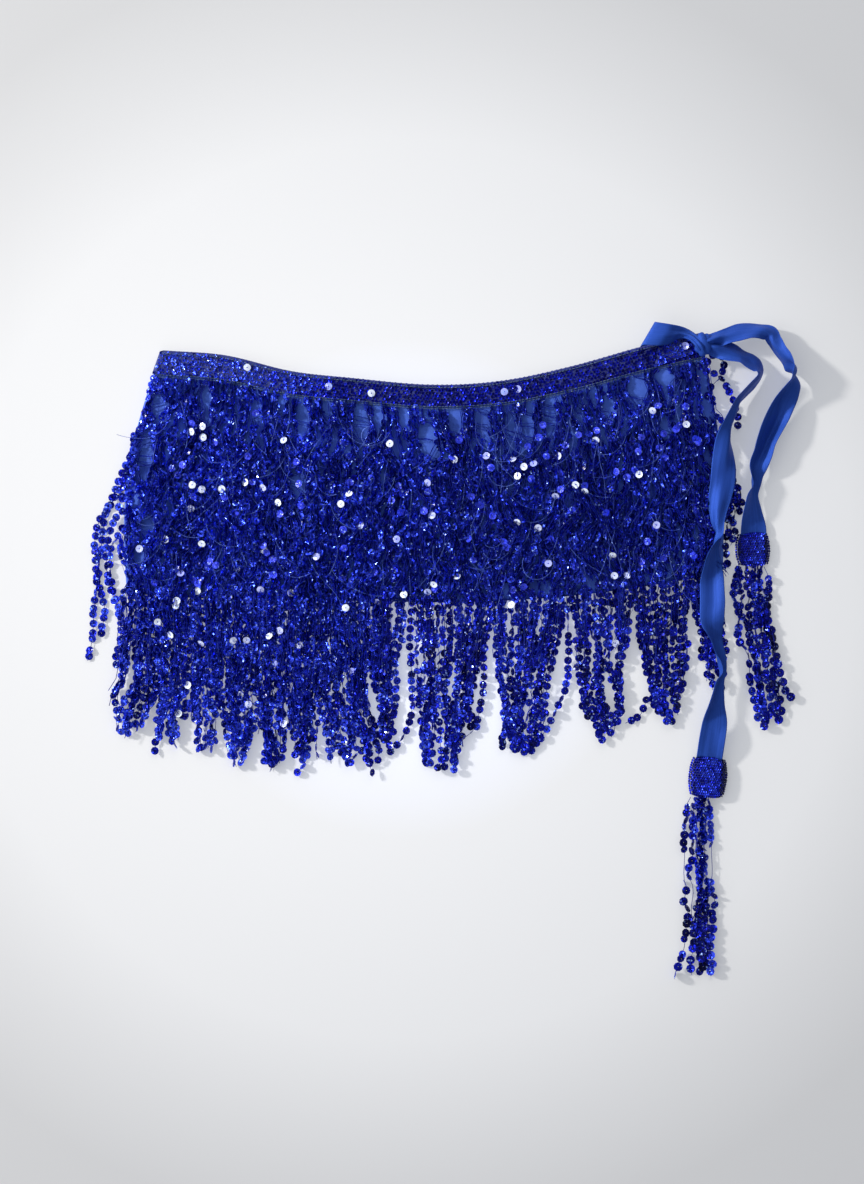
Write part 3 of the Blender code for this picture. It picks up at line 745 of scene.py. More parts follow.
def string_of_discs(course, pitch, closer, neatness, rng):
    """Places, directions, tilts and neatness of the sequins on one string.

    neatness is 0 where sequins stand jumbled on edge and 1 where they lie flat, along the course.
    Where it is below 0 the thread is bare. closer is the share of the pitch at which the sequins
    follow each other where they are jumbled.
    """
    run = resampled(course, STEP)
    along = np.linspace(0.0, 1.0, len(run))
    neat = np.interp(along, np.linspace(0.0, 1.0, len(neatness)), neatness)
    share = np.clip(neat, 0.0, 1.0)
    filled = np.cumsum(STEP / (pitch * (closer + (FLAT_PITCH - closer) * share)))
    stops = np.cumsum(rng.uniform(0.86, 1.14, int(filled[-1] / 0.86) + 2)) - rng.random()
    index = np.searchsorted(filled, stops[(stops > 0.0) & (stops < filled[-1])])
    index = index[~in_window(run[index, 0], run[index, 1], rng)]
    count = len(index)
    ahead = np.gradient(run, axis=0)[index]
    ahead[:, 2] *= 0.5
    neat = neat[index]
    places = run[index] + rng.normal(0.0, 1.0, (count, 3)) * (0.3, 0.3, 0.35)
    # A sequin that lies flat tilts a little, and any other stands on edge to either side
    flat = rng.random(count) < 0.38 + 0.52 * neat
    phase = np.arange(count) * rng.uniform(0.15, 0.4) + rng.uniform(0.0, TURN)
    sway = (22.0 - 12.0 * neat) * np.sin(phase)
    lying = rng.normal(0.0, 1.0, count) * (26.0 - 15.0 * neat) + sway
    standing = rng.normal(66.0, 15.0, count) * np.where(rng.random(count) < 0.5, -1.0, 1.0)
    roll = np.clip(np.where(flat, lying, standing), -88.0, 88.0)
    lift = np.clip(rng.normal(0.0, 1.0, count) * (24.0 - 16.0 * neat), -60.0, 60.0)
    sewn = neat >= 0.0
    return places[sewn], ahead[sewn], np.radians(np.stack((roll, lift), axis=1))[sewn], neat[sewn]


def companion(course, rng):
    """A loose thread that wanders beside a string."""
    run = resampled(course, THREAD_STEP)
    aside = np.cumsum(rng.normal(0.0, 0.5, (len(run), 2)), axis=0)
    aside = np.clip(aside + rng.normal(0.0, 1.2, 2), -3.2, 3.2)
    run[:, :2] += aside
    run[:, 2] += rng.uniform(0.4, 1.5)
    return run


def fringe_object(name, courses, seed, cad_node, companions=0, closer=1.0, larger=0.1):
    """A whole row of strings: sequins, threads and loose threads, each in one joined mesh.

    companions is how many threads wander beside a jumbled string, twice as many on the right.
    closer is as for string_of_discs, and larger is how much larger the sequins that lie flat are.
    """
    sizes = bpy.context.scene.scarf_sizes
    rng = np.random.default_rng(seed)
    template = disc_template(sizes.sequin_width / MM / 2.0, 9, 0.34, 0.55)
    kinds, tints, threads, loose = [], [], [], []
    for course, neatness in courses:
        kinds.append(string_of_discs(course, sizes.sequin_pitch / MM, closer, neatness, rng))
        own_tint = rng.normal(0.62, 0.24)
        tints.append(np.full(len(kinds[-1][0]), own_tint))
        threads.append(tube(resampled(course, THREAD_STEP), THREAD_RADIUS))
        beside = companions * (1.0 + between(-60.0, 0.0, course[0][0])) * (neatness[0] < 0.5)
        for i in range(int(beside)):
            kept, radius = (loose, 0.17) if i % 2 else (threads, 0.34)
            kept.append(tube(companion(course, rng), radius))
    places, ahead, tips, neat = (np.concatenate(some) for some in zip(*kinds))
    places[:, 2] = np.maximum(places[:, 2], LOWEST_SEQUIN_Z)
    size = 1.0 + larger * np.maximum(neat, 0.0)
    points, faces = discs(places, ahead, tips, template, rng, size=size)
    points[:, 2] = np.maximum(points[:, 2], LOWEST_RIM_Z)
    piece = mesh_object(name, points, faces, foil("sequin_foil", 1.5, 0.88))
    # Beside its string's own tint, a sequin is darker to the right and where it lies flat
    tint = np.concatenate(tints) + rng.normal(0.0, 0.2, len(places))
    tint = tint + drift(places[:, 0], places[:, 1], 91, 0.3, 60.0) - (places[:, 0] + 40.0) / 650.0
    tint = np.clip(tint, 0.0, 1.0) - neat * rng.uniform(0.2, 1.1, len(places))
    disc_values(piece, template, tint, 1.0 - 0.3 * neat)
    seated(piece, "sequin_strings", cad_node)
    thread_object(name + "_threads", threads, thread("string_thread"), "sequin_strings", cad_node)
    if loose:
        thread_object(name + "_loose", loose, thread("blue_thread"), "sequin_strings", cad_node)


def set_inputs(tree, made, inputs):
    """Sets a node's inputs to values, or links them where another node's output is given."""
    for key, value in inputs.items():
        if isinstance(value, bpy.types.NodeSocket):
            tree.links.new(value, made.inputs[key])
        else:
            made.inputs[key].default_value = value


def node(tree, kind, inputs=None, **settings):
    """A new node with its settings and its inputs."""
    made = tree.nodes.new(kind)
    for key, value in settings.items():
        setattr(made, key, value)
    set_inputs(tree, made, inputs or {})
    return made


def ramp(tree, stops, source):
    """Colour read from stops, which are places from 0 to 1 with a colour each."""
    made = node(tree, "ShaderNodeValToRGB", {"Fac": source})
    elements = made.color_ramp.elements
    elements[0].position, elements[0].color = stops[0][0], (*stops[0][1], 1.0)
    elements[1].position, elements[1].color = stops[-1][0], (*stops[-1][1], 1.0)
    for position, colour in stops[1:-1]:
        elements.new(position).color = (*colour, 1.0)
    return made.outputs["Color"]


def vector_math(tree, operation, inputs):
    made = node(tree, "ShaderNodeVectorMath", inputs, operation=operation)
    return made.outputs["Value" if operation in ("DISTANCE", "DOT_PRODUCT") else "Vector"]


def product(tree, first, second):
    return node(tree, "ShaderNodeMath", {0: first, 1: second}, operation="MULTIPLY").outputs[0]


def map_range(tree, value, low, high, to_low=0.0, to_high=1.0):
    inputs = {"Value": value, "From Min": low, "From Max": high, "To Min": to_low, "To Max": to_high}
    return node(tree, "ShaderNodeMapRange", inputs).outputs["Result"]


def noise(tree, vector, scale, detail, rough=0.5):
    inputs = {"Vector": vector, "Scale": scale, "Detail": detail, "Roughness": rough}
    return node(tree, "ShaderNodeTexNoise", inputs).outputs["Fac"]


def object_place(tree):
    return tree.nodes.new("ShaderNodeTexCoord").outputs["Object"]


def bump(tree, height, strength, distance):
    inputs = {"Height": height, "Strength": strength, "Distance": distance}
    return node(tree, "ShaderNodeBump", inputs).outputs["Normal"]


def new_group(name, inputs, outputs):
    """A shader group with its sockets, given as names and kinds, and what comes into it."""
    tree = bpy.data.node_groups.new(name, "ShaderNodeTree")
    for way, sockets in (("INPUT", inputs), ("OUTPUT", outputs)):
        for key, kind in sockets.items():
            tree.interface.new_socket(key, in_out=way, socket_type="NodeSocket" + kind)
    return tree, tree.nodes.new("NodeGroupInput").outputs


def plain_weave(name):
    """Over-and-under threads of a plain weave, from a pattern's coordinates."""
    inputs = {"Vector": "Vector", "Threads": "Float"}
    tree, given = new_group(name, inputs, {"Height": "Float", "Slub": "Float"})
    scaled = vector_math(tree, "SCALE", {0: given["Vector"], "Scale": given["Threads"]})
    split = node(tree, "ShaderNodeSeparateXYZ", {"Vector": scaled}).outputs
    across, along = (node(tree, "ShaderNodeMath", {0: split[axis]}, operation="SINE") for axis in "XY")
    crossing = product(tree, across.outputs[0], along.outputs[0])
    node(tree, "NodeGroupOutput", {"Height": crossing, "Slub": noise(tree, scaled, 0.07, 4.0, 0.6)})
    return tree


def foil_glint(name):
    """Foil colour from each sequin's own tint with a painted glint on a few facets, and a normal
    broken into small crumpled facets.
    """
    tree, given = new_group(
        name,
        {"Deep": "Color", "Bright": "Color", "Spread": "Float"},
        {"Colour": "Color", "Rough": "Float", "Normal": "Vector"},
    )
    tint = node(tree, "ShaderNodeAttribute", attribute_name="tint").outputs["Fac"]
    crumple = node(tree, "ShaderNodeAttribute", attribute_name="crumple").outputs["Fac"]
    place = object_place(tree)
    colours = {"Factor": tint, "A": given["Deep"], "B": given["Bright"]}
    blend = node(tree, "ShaderNodeMix", colours, data_type="RGBA", clamp_factor=True).outputs["Result"]
    dimming = map_range(tree, tint, -1.0, 0.0, 0.12, 1.0)
    shaded = vector_math(tree, "SCALE", {0: blend, "Scale": dimming})
    # Facets are a little over a millimetre across, and about one in thirty of them gets a painted
    # glint, its colour mixed to pale blue
    cells = node(tree, "ShaderNodeTexVoronoi", {"Vector": place, "Scale": 880.0}).outputs["Color"]
    centred = vector_math(tree, "SUBTRACT", {0: cells, 1: (0.5, 0.5, 0.5)})
    pushed = vector_math(tree, "SCALE", {0: centred, "Scale": product(tree, crumple, given["Spread"])})
    smooth = tree.nodes.new("ShaderNodeNewGeometry").outputs["Normal"]
    added = vector_math(tree, "ADD", {0: pushed, 1: smooth})
    facet = node(tree, "ShaderNodeSeparateColor", {"Color": cells}).outputs["Blue"]
    painted_glint_mask = map_range(tree, facet, 0.955, 0.975)
    crumpled = map_range(tree, crumple, 0.35, 0.6)
    colours = {"Factor": product(tree, painted_glint_mask, crumpled), "A": shaded, "B": (0.32, 0.48, 1.0, 1.0)}
    colour_with_painted_glints = node(tree, "ShaderNodeMix", colours, data_type="RGBA").outputs["Result"]
    rough = map_range(tree, noise(tree, place, 900.0, 2.0), 0.0, 1.0, 0.18, 0.46)
    unit = vector_math(tree, "NORMALIZE", {0: added})
    node(tree, "NodeGroupOutput", {"Colour": colour_with_painted_glints, "Rough": rough, "Normal": unit})
    return tree


def grouped(tree, build, inputs):
    """Outputs of a shared group, which its function builds when it is first asked for."""
    name = build.__name__
    shared = bpy.data.node_groups.get(name) or build(name)
    return node(tree, "ShaderNodeGroup", inputs, node_tree=shared).outputs


def material(name, looks, *values):
    """The material of this name, whose shader inputs come from a function the first time."""
    found = bpy.data.materials.get(name)
    if found:
        return found
    made = bpy.data.materials.new(name)
    made.use_nodes = True
    tree = made.node_tree
    set_inputs(tree, tree.nodes["Principled BSDF"], looks(tree, *values))
    return made


def cloth_looks(tree):
    """Matt royal blue cloth, a little mottled."""
    place = object_place(tree)
    weave = grouped(tree, plain_weave, {"Vector": place, "Threads": 9000.0})
    stops = ((0.3, (0.024, 0.078, 0.450)), (0.55, (0.042, 0.120, 0.590)), (0.8, (0.068, 0.165, 0.700)))
    return {
        "Base Color": ramp(tree, stops, noise(tree, place, 55.0, 5.0, 0.6)),
        "Roughness": 0.72,
        "Sheen Weight": 0.15,
        "Sheen Roughness": 0.5,
        "Sheen Tint": (0.35, 0.5, 1.0, 1.0),
        "Normal": bump(tree, weave["Height"], 0.35, 0.0002),
    }


def ribbon_looks(tree):
    """Soft satin with fine streaks along the ribbon."""
    pattern = node(tree, "ShaderNodeUVMap", uv_map="UVMap").outputs["UV"]
    weave = grouped(tree, plain_weave, {"Vector": pattern, "Threads": 8.5})
    stretch = node(tree, "ShaderNodeMapping", {"Vector": pattern, "Scale": (0.018, 0.5, 1.0)})
    streaks = noise(tree, stretch.outputs["Vector"], 1.0, 4.0, 0.55)
    stops = ((0.3, (0.015, 0.057, 0.312)), (0.6, (0.021, 0.071, 0.388)), (0.8, (0.026, 0.083, 0.445)))
    return {
        "Base Color": ramp(tree, stops, streaks),
        "Metallic": 0.35,
        "Roughness": 0.52,
        "Specular IOR Level": 0.1,
        "Normal": bump(tree, weave["Height"], 0.3, 0.00012),
    }


def band_looks(tree):
    """Dark blue cloth under closely sewn sequins."""
    weave = grouped(tree, plain_weave, {"Vector": object_place(tree), "Threads": 6000.0})
    stops = ((0.3, (0.006, 0.012, 0.120)), (0.7, (0.016, 0.034, 0.230)))
    return {
        "Base Color": ramp(tree, stops, weave["Slub"]),
        "Roughness": 0.7,
        "Normal": bump(tree, weave["Height"], 0.4, 0.0003),
    }


def foil_looks(tree, deep, bright, spread, metal):
    """Crumpled foil from a deep colour to a bright one with a few painted glints, under a thin clear
    coat.
    """
    inputs = {"Deep": (*deep, 1.0), "Bright": (*bright, 1.0), "Spread": spread}
    glint = grouped(tree, foil_glint, inputs)
    return {
        "Base Color": glint["Colour"],
        "Roughness": glint["Rough"],
        "Normal": glint["Normal"],
        "Metallic": metal,
        "Coat Weight": 0.12,
        "Coat Roughness": 0.15,
    }


def thread_looks(tree, scale, dark, light):
    """Matt thread, mottled from a dark colour to a light one."""
    fuzz = noise(tree, object_place(tree), scale, 3.0)
    return {
        "Base Color": ramp(tree, ((0.35, dark), (0.7, light)), fuzz),
        "Roughness": 0.65,
        "Specular IOR Level": 0.12,
    }


def floor_looks(tree):
    """A pale floor with painted light: brightest round the scarf as a painted pool of light, and a
    painted glow of its own, slightly cooler, that lifts its shadows.
    """
    away = vector_math(tree, "DISTANCE", {0: object_place(tree), 1: (-0.03, 0.05, 0.0)})
    # Painted light: palest and a little bluer right under the scarf, then darker outwards as the light
    # falls off
    stops = (
        (0.11, (0.650, 0.668, 0.730)),
        (0.20, (0.562, 0.562, 0.560)),
        (0.36, (0.519, 0.519, 0.517)),
        (0.44, (0.452, 0.452, 0.451)),
        (0.52, (0.394, 0.394, 0.393)),
        (0.80, (0.372, 0.372, 0.372)),
    )
    tone_with_painted_light = ramp(tree, stops, away)
    return {
        "Base Color": tone_with_painted_light,
        # Painted glow: the floor gives off slightly cooler light of its own, which lifts its shadows
        "Emission Color": vector_math(tree, "MULTIPLY", {0: tone_with_painted_light, 1: (0.94, 0.985, 1.07)}),
        "Emission Strength": 0.50,
        "Roughness": 0.75,
        "Specular IOR Level": 0.2,
    }


def cloth_blue():
    return material("cloth_blue", cloth_looks)


def ribbon_blue():
    return material("ribbon_blue", ribbon_looks)


def band_blue():
    return material("band_blue", band_looks)


def foil(name, spread, metal):
    """Foil in the colours that the user picked; spread is how far its small facets turn."""
    colours = bpy.context.scene.scarf_colours
    return material(name, foil_looks, colours.foil_deep, colours.foil_bright, spread, metal)


def foil_flash():
    """Sequins with a painted flash: colours from bright blue to nearly white stand in for light they
    catch.
    """
    colours = (0.006, 0.028, 0.78), (0.80, 0.88, 1.0)
    return material("painted_flash_sequin_foil", foil_looks, *colours, 0.25, 0.1)


def thread(name):
    return material(name, thread_looks, *THREADS[name])


def sheet_object(name, columns, uv_step, thickness, finish):
    """A sheet of cloth through columns of points, with its pattern's own map and a real wall."""
    grid = np.asarray(columns, dtype=float)
    across, along = grid.shape[:2]
    index = np.arange(across * along).reshape(across, along)
    faces = np.stack((index[:-1, :-1], index[:-1, 1:], index[1:, 1:], index[1:, :-1]), axis=2)
    faces = faces.reshape(-1, 4)
    piece = mesh_object(name, grid.reshape(-1, 3), faces, finish)
    layer = piece.data.uv_layers.new(name="UVMap")
    column, row = np.divmod(faces.ravel(), along)
    pattern = np.stack((column * uv_step[0], row * uv_step[1]), axis=1)
    layer.data.foreach_set("uv", pattern.astype(np.float32).ravel())
    tidy = bmesh.new()
    tidy.from_mesh(piece.data)
    bmesh.ops.recalc_face_normals(tidy, faces=tidy.faces)
    tidy.to_mesh(piece.data)
    tidy.free()
    piece.data.shade_smooth()
    wall = piece.modifiers.new("wall", "SOLIDIFY")
    wall.thickness = thickness * MM
    wall.offset = 0.0
    bpy.ops.object.select_all(action="DESELECT")
    piece.select_set(True)
    bpy.context.view_layer.objects.active = piece
    bpy.ops.object.modifier_apply(modifier="wall")
    return piece


def wrapped_points(downs, front_z, back_z, lifted, count):
    """Rows of points along the front, round the left fold and along the back.

    front_z and back_z give a layer's height at a place down the cloth, and lifted is 1 where the
    front falls in soft folds and 0 where it lies flat.
    """
    rows = []
    for down in downs:
        front = np.linspace(1.0, 0.0, count)
        x, y = outline(front, down)
        crumple = drift(x, y, 71, 0.16, 22.0) + drift(x, y, 72, 0.08, 9.0)
        inner = between(0.0, 0.04, front) * between(0.0, 0.04, 1.0 - front)
        z = front_z(down) + (folds(front, down) if lifted else 0.0) + crumple * inner * lifted
        radius = (front_z(down) - back_z(down)) / 2.0
        centre = float(fold_radius(down))
        run = [np.stack((x + centre * (1.0 - front), y, z), axis=1)]
        angles = np.radians(np.arange(22.5, 180.0, 22.5))
        edge_x, edge_y = outline(0.0, down)
        turn_x = edge_x + centre - radius * np.sin(angles)
        turn_z = back_z(down) + radius * (1.0 + np.cos(angles))
        run.append(np.stack((turn_x, edge_y + back_shift(down) * angles / math.pi, turn_z), axis=1))
        back = np.linspace(0.0, 1.0, count // 2)
        x, y = outline(back, down)
        flat = np.full(len(back), back_z(down))
        run.append(np.stack((x + centre * (1.0 - back), y + back_shift(down), flat), axis=1))
        rows.append(np.vstack(run))
    return np.stack(rows, axis=1)


def back_shift(down):
    """The back shows a little above the front's waist edge and below its hem."""
    return BACK_RISE_AT_WAIST * (1.0 - down) - BACK_DROP_AT_HEM * down


def fold_radius(down):
    """Radius of the fold at the left, in the middle of the base cloth."""
    return (layer_height(FRONT_PANEL_Z, down) - layer_height(BACK_PANEL_Z, down)) / 2.0


def small_discs(name, places, ahead, seed, slot, tilt, radius=1.55, tint=0.5, lean=0.0, crumple=0.6):
    """Small flat sequins sewn close together in rows that run ahead, in one joined mesh.

    Tilt, middle tint, lean to one side and crumple are one value for all or one for each sequin.
    """
    rng = np.random.default_rng(seed)
    template = disc_template(radius, 7, 0.25, 0.3)
    count = len(places)
    tips = np.radians(rng.normal(0.0, 1.0, (count, 2)) * np.broadcast_to(tilt, count)[:, None])
    tips[:, 0] += np.radians(lean)
    ahead = np.tile(ahead, (count, 1))
    points, faces = discs(places, ahead, tips, template, rng, flip=0.0, rough=0.07)
    piece = mesh_object(name, points, faces, foil("small_sequin_foil", 0.9, 0.95))
    tints = np.clip(tint + rng.uniform(-0.5, 0.5, count), -1.0, 1.0)
    disc_values(piece, template, tints, np.broadcast_to(crumple, count))
    seated(piece, slot)


class ScarfSizes(bpy.types.PropertyGroup):
    """Sizes of the scarf's repeated pieces."""

    sequin_width: bpy.props.FloatProperty(
        name="Sequin Width",
        description="Diameter of one string sequin",
        default=0.006,
        min=0.003,
        max=0.012,
        subtype="DISTANCE",
        unit="LENGTH",
    )
    sequin_pitch: bpy.props.FloatProperty(
        name="Sequin Pitch",
        description="Distance from one sequin to the next along its string",
        default=0.0063,
        min=0.004,
        max=0.02,
        subtype="DISTANCE",
        unit="LENGTH",
    )
    strings_per_row: bpy.props.IntProperty(
        name="Strings Per Row",
        description="How many sequin strings hang from each front header tape",
        default=110,
        min=20,
        max=160,
    )
    ribbon_width: bpy.props.FloatProperty(
        name="Ribbon Width",
        description="Width of the tie ribbon",
        default=0.020,
        subtype="DISTANCE",
        unit="LENGTH",
    )


class ScarfColours(bpy.types.PropertyGroup):
    """Colours of the sequins."""

    foil_deep: bpy.props.FloatVectorProperty(
        name="Deep Foil",
        description="Colour of the darkest sequins",
        default=(0.0012, 0.0065, 0.400),
        size=3,
        subtype="COLOR",
    )
    foil_bright: bpy.props.FloatVectorProperty(
        name="Bright Foil",
        description="Colour of the brightest sequins",
        default=(0.046, 0.100, 1.000),
        size=3,
        subtype="COLOR",
    )


class SCARF_OT_stage(bpy.types.Operator):
    """Lay out the pale floor, the soft light from the left and the camera above"""

    bl_idname = "scarf.stage"
    bl_label = "Stage"

    def execute(self, context):
        bpy.ops.object.select_all(action="DESELECT")
        bpy.ops.mesh.primitive_plane_add(size=FLOOR_SIZE, location=(0.0, 0.0, FLOOR_Z))
        floor = context.object
        floor.name = "floor"
        floor.data.materials.append(material("floor_white", floor_looks))
        lights = (
            # name, place, size, power, colour
            ("key", (-2.38, 0.98, 1.26), 0.26, 88.0, (1.0, 0.972, 0.925)),
            ("fill", (0.6, 2.6, 1.9), 1.6, 8.0, (0.92, 0.96, 1.0)),
        )
        for name, place, size, power, colour in lights:
            bpy.ops.object.light_add(type="AREA", location=place)
            lamp = context.object
            lamp.name = name
            lamp.data.shape = "DISK"
            lamp.data.size = size
            lamp.data.energy = power
            lamp.data.color = colour
            aim = -np.array(place)
            lamp.rotation_euler = (
                math.acos(-aim[2] / np.linalg.norm(aim)),
                0.0,
                math.atan2(aim[1], aim[0]) - math.pi / 2.0,
            )
        self.surround(context)
        bpy.ops.object.camera_add(location=(*PHOTO_CENTRE, CAMERA_HEIGHT), rotation=(0.0, 0.0, 0.0))
        camera = context.object
        camera.name = "camera"
        camera.data.sensor_width = SENSOR
        camera.data.lens = SENSOR * CAMERA_HEIGHT / (PHOTO_HEIGHT * PIXEL)
        context.scene.camera = camera
        context.scene.view_settings.view_transform = "Standard"
        return {"FINISHED"}

    def surround(self, context):
        """A room that is bright low down, most on the left, and darker straight above."""
        world = bpy.data.worlds.new("room")
        context.scene.world = world
        world.use_nodes = True
        tree = world.node_tree
        place = tree.nodes.new("ShaderNodeTexCoord").outputs["Generated"]
        upward = node(tree, "ShaderNodeSeparateXYZ", {"Vector": place}).outputs["Z"]
        stops = (
            (0.0, (0.76, 0.765, 0.785)),
            (0.62, (0.68, 0.69, 0.72)),
            (0.86, (0.27, 0.275, 0.30)),
            (1.0, (0.19, 0.193, 0.205)),
        )
        lean = vector_math(tree, "DOT_PRODUCT", {0: place, 1: (-0.92, 0.38, 0.0)})
        side = map_range(tree, lean, -1.0, 1.0, 0.20, 2.13)
        lit = vector_math(tree, "SCALE", {0: ramp(tree, stops, upward), "Scale": side})
        set_inputs(tree, tree.nodes["Background"], {"Color": lit, "Strength": 1.0})


class SCARF_OT_base_cloth(bpy.types.Operator):
    """Lay the folded base cloth with its soft folds"""

    bl_idname = "scarf.base_cloth"
    bl_label = "Base Cloth"

    def execute(self, context):
        downs = np.concatenate((np.linspace(0.022, LEVEL_TO, 6), np.linspace(0.145, 1.0, 46)))
        columns = wrapped_points(
            downs,
            lambda down: float(layer_height(FRONT_PANEL_Z, down)),
            lambda down: float(layer_height(BACK_PANEL_Z, down)),
            1.0,
            180,
        )
        cloth = sheet_object("base_cloth", columns, CLOTH_MAP, CLOTH_THICKNESS, cloth_blue())
        seated(cloth, "base_cloth", "wrap_panel")
        return {"FINISHED"}


class SCARF_OT_waistband(bpy.types.Operator):
    """Sew the waistband and its free end, closely covered with small sequins"""

    bl_idname = "scarf.waistband"
    bl_label = "Waistband"

    def execute(self, context):
        downs = np.linspace(0.0, BAND_FOOT, 7)
        front_z, back_z = FRONT_BAND_Z - 0.2, BACK_BAND_Z + 0.2
        columns = wrapped_points(downs, lambda down: front_z, lambda down: back_z, 0.0, 200)
        band = sheet_object("band_cloth", columns, CLOTH_MAP, CLOTH_THICKNESS, band_blue())
        seated(band, "sequin_band", "waistband")
        self.front_sequins()
        self.back_sequins()
        self.free_end()
        self.seams()
        return {"FINISHED"}

    def front_sequins(self):
        """Seven close rows, brighter and less even towards the left."""
        rng = np.random.default_rng(201)
        places = []
        for row, down in enumerate(np.linspace(0.004, BAND_FOOT - 0.006, 7)):
            across = np.linspace(0.0, 0.996, 168) + 0.003 * (row % 2)
            x, y = outline(across, down)
            z = FRONT_BAND_Z + 0.65 + rng.normal(0.0, 0.14, len(x))
            x = x + rng.normal(0.0, 0.3, len(x))
            places.append(np.stack((x, y + rng.normal(0.0, 0.3, len(x)), z), axis=1))
        places = np.vstack(places)
        towards_left = 1.0 - between(-150.0, -80.0, places[:, 0])
        small_discs(
            "band_sequins",
            places,
            (1.0, 0.0, 0.0),
            202,
            "sequin_band",
            8.0 + 14.0 * towards_left,
            radius=1.35,
            tint=-0.3 + 0.9 * towards_left,
            crumple=0.3 + 0.3 * towards_left,
        )

    def back_sequins(self):
        """Rows on the floor side, where the back half's band faces down."""
        places = []
        for row, down in enumerate(np.linspace(0.006, BAND_FOOT - 0.006, 6)):
            across = np.linspace(0.01, 0.99, 120) + 0.004 * (row % 2)
            x, y = outline(across, down)
            places.append(np.stack((x, y + back_shift(down), np.full(len(x), 0.32)), axis=1))
        small_discs("band_sequins_back", np.vstack(places), (1.0, 0.0, 0.0), 203, "sequin_band", 3.0)

    def free_end(self):
        rows = through(BAND_END, np.linspace(0.0, 1.0, 24))
        columns = [
            [(ax + (bx - ax) * s, ay + (by - ay) * s, z) for s in np.linspace(0.0, 1.0, 7)]
            for ax, ay, bx, by, z in rows
        ]
        end = sheet_object("band_end_cloth", columns, CLOTH_MAP, CLOTH_THICKNESS, band_blue())
        seated(end, "sequin_band", "band_end")
        rng = np.random.default_rng(204)
        places = []
        for row, share in enumerate(np.linspace(0.04, 0.96, 7)):
            for ax, ay, bx, by, z in through(BAND_END, np.linspace(0.01, 0.99, 15) + 0.03 * (row % 2)):
                lift = 0.7 + rng.normal(0.0, 0.12)
                places.append((ax + (bx - ax) * share, ay + (by - ay) * share, z + lift))
        ahead = (1.0, 0.2, 0.0)
        small_discs("band_end_sequins", np.array(places), ahead, 205, "sequin_band", 16.0, 1.45, 0.3)

    def seams(self):
        """Two rows of stitches along the band's foot and one near the waist edge."""
        stitches = []
        for down, lift in ((BAND_FOOT + 0.001, 0.55), (BAND_FOOT + 0.010, 0.2), (0.004, 0.9)):
            for across in np.arange(0.003, 0.994, 0.0062):
                x, y = outline(np.linspace(across, across + 0.0044, 4), down)
                z = FRONT_BAND_Z + lift + 0.25 * np.sin(np.linspace(0.0, math.pi, 4))
                stitches.append(tube(np.stack((x, y, z), axis=1), 0.36, 5))
        seam = thread_object("band_stitches", stitches, thread("seam_thread"), "sequin_band")
        seam.data.shade_smooth()


class SCARF_OT_fringe_rows(bpy.types.Operator):
    """String the four front rows of sequins from their header tapes"""

    bl_idname = "scarf.fringe_rows"
    bl_label = "Fringe Rows"

    def execute(self, context):
        strings = context.scene.scarf_sizes.strings_per_row
        rows = (
            # share of strings left of half way, loose threads beside one, pitch share where jumbled
            (LEFT_SHARE_UPPER, 2, 0.62),
            (LEFT_SHARE_UPPER, 2, 0.64),
            (LEFT_SHARE_LOWER, 1, 0.8),
            (LEFT_SHARE_LOWER, 0, 1.0),
        )
        for row, (left_share, companions, closer) in enumerate(rows):
            rng = np.random.default_rng(300 + row)
            number = row + 1
            courses = []
            for i in range(strings):
                share = (i + 0.5 + rng.uniform(-0.35, 0.35)) / strings
                hem_x = hem_place(share, left_share, -251.0, 223.0)
                courses.append(self.course(row, float(across_at_hem(hem_x)), hem_x, rng))
            for owner, *course in STRAYS:
                if owner == number:
                    smooth = through(course, np.linspace(0.0, 1.0, 8 * len(course)))
                    courses.append((smooth, (0.8, 1.0, 1.0, 1.0)))
            name, cad_node = f"fringe_row_{number}", f"fringe_tier_{number}"
            fringe_object(name, courses, 310 + row, cad_node, companions, closer)
        return {"FINISHED"}

    def course(self, row, across, hem_x, rng):
        """One string's course, and how neatly its sequins lie from its root to its tip."""
        left = thick_left(hem_x)
        if row == 0:
            reach = 0.78 + rng.normal(0.0, 0.03)
            return row_course(row, across, reach, rng), (0.0, 0.0)
        over = row_course(row, across, min(1.0, 0.97 + left + rng.normal(0.0, 0.03)), rng)
        if lock_of(over[-1][0]) is None or (row == 1 and left == 0.0):
            return over, (0.0, 0.0)
        reach = (0.0, 0.52, 0.42 + 0.40 * left, 1.0)[row]
        reach = max(reach + rng.normal(0.0, 0.07) * (row < 3), 0.15)
        below = fall_course(over[-1], over[-1][0], reach, 4 - row, rng)
        neat = (0.0, 0.0, 0.0, 0.1, 0.2, 0.6) if left > 0.5 else (0.0, 0.1, 0.5, 0.9, 1.0)
        return np.vstack((over, below[1:])), neat


class SCARF_OT_back_fringe(bpy.types.Operator):
    """String the back half's hem row, which lies on the floor under the front's"""

    bl_idname = "scarf.back_fringe"
    bl_label = "Back Fringe"

    def execute(self, context):
        rng = np.random.default_rng(401)
        courses = []
        for i in range(BACK_STRINGS):
            share = (i + 0.5 + rng.uniform(-0.3, 0.3)) / BACK_STRINGS
            hem_x = hem_place(share, LEFT_SHARE_BACK, -249.0, 221.0)
            x, y = outline(across_at_hem(hem_x), 1.0)
            start = np.array((float(x), float(y) - BACK_DROP_AT_HEM - 1.0, 0.9))
            reach = 0.88 + rng.normal(0.0, 0.08)
            if lock_of(hem_x):
                courses.append((fall_course(start, hem_x, min(reach, 1.0), 0, rng), (0.4, 0.8, 1.0)))
        fringe_object("back_row", courses, 402, "back_fringe")
        return {"FINISHED"}


def creased(shares, crease):
    """Height across a ribbon: a trough where the crease is positive and a ridge where negative."""
    sharp = np.sqrt(shares**2 + 0.004)
    return 1.5 * crease * (2.0 * sharp - 0.5)


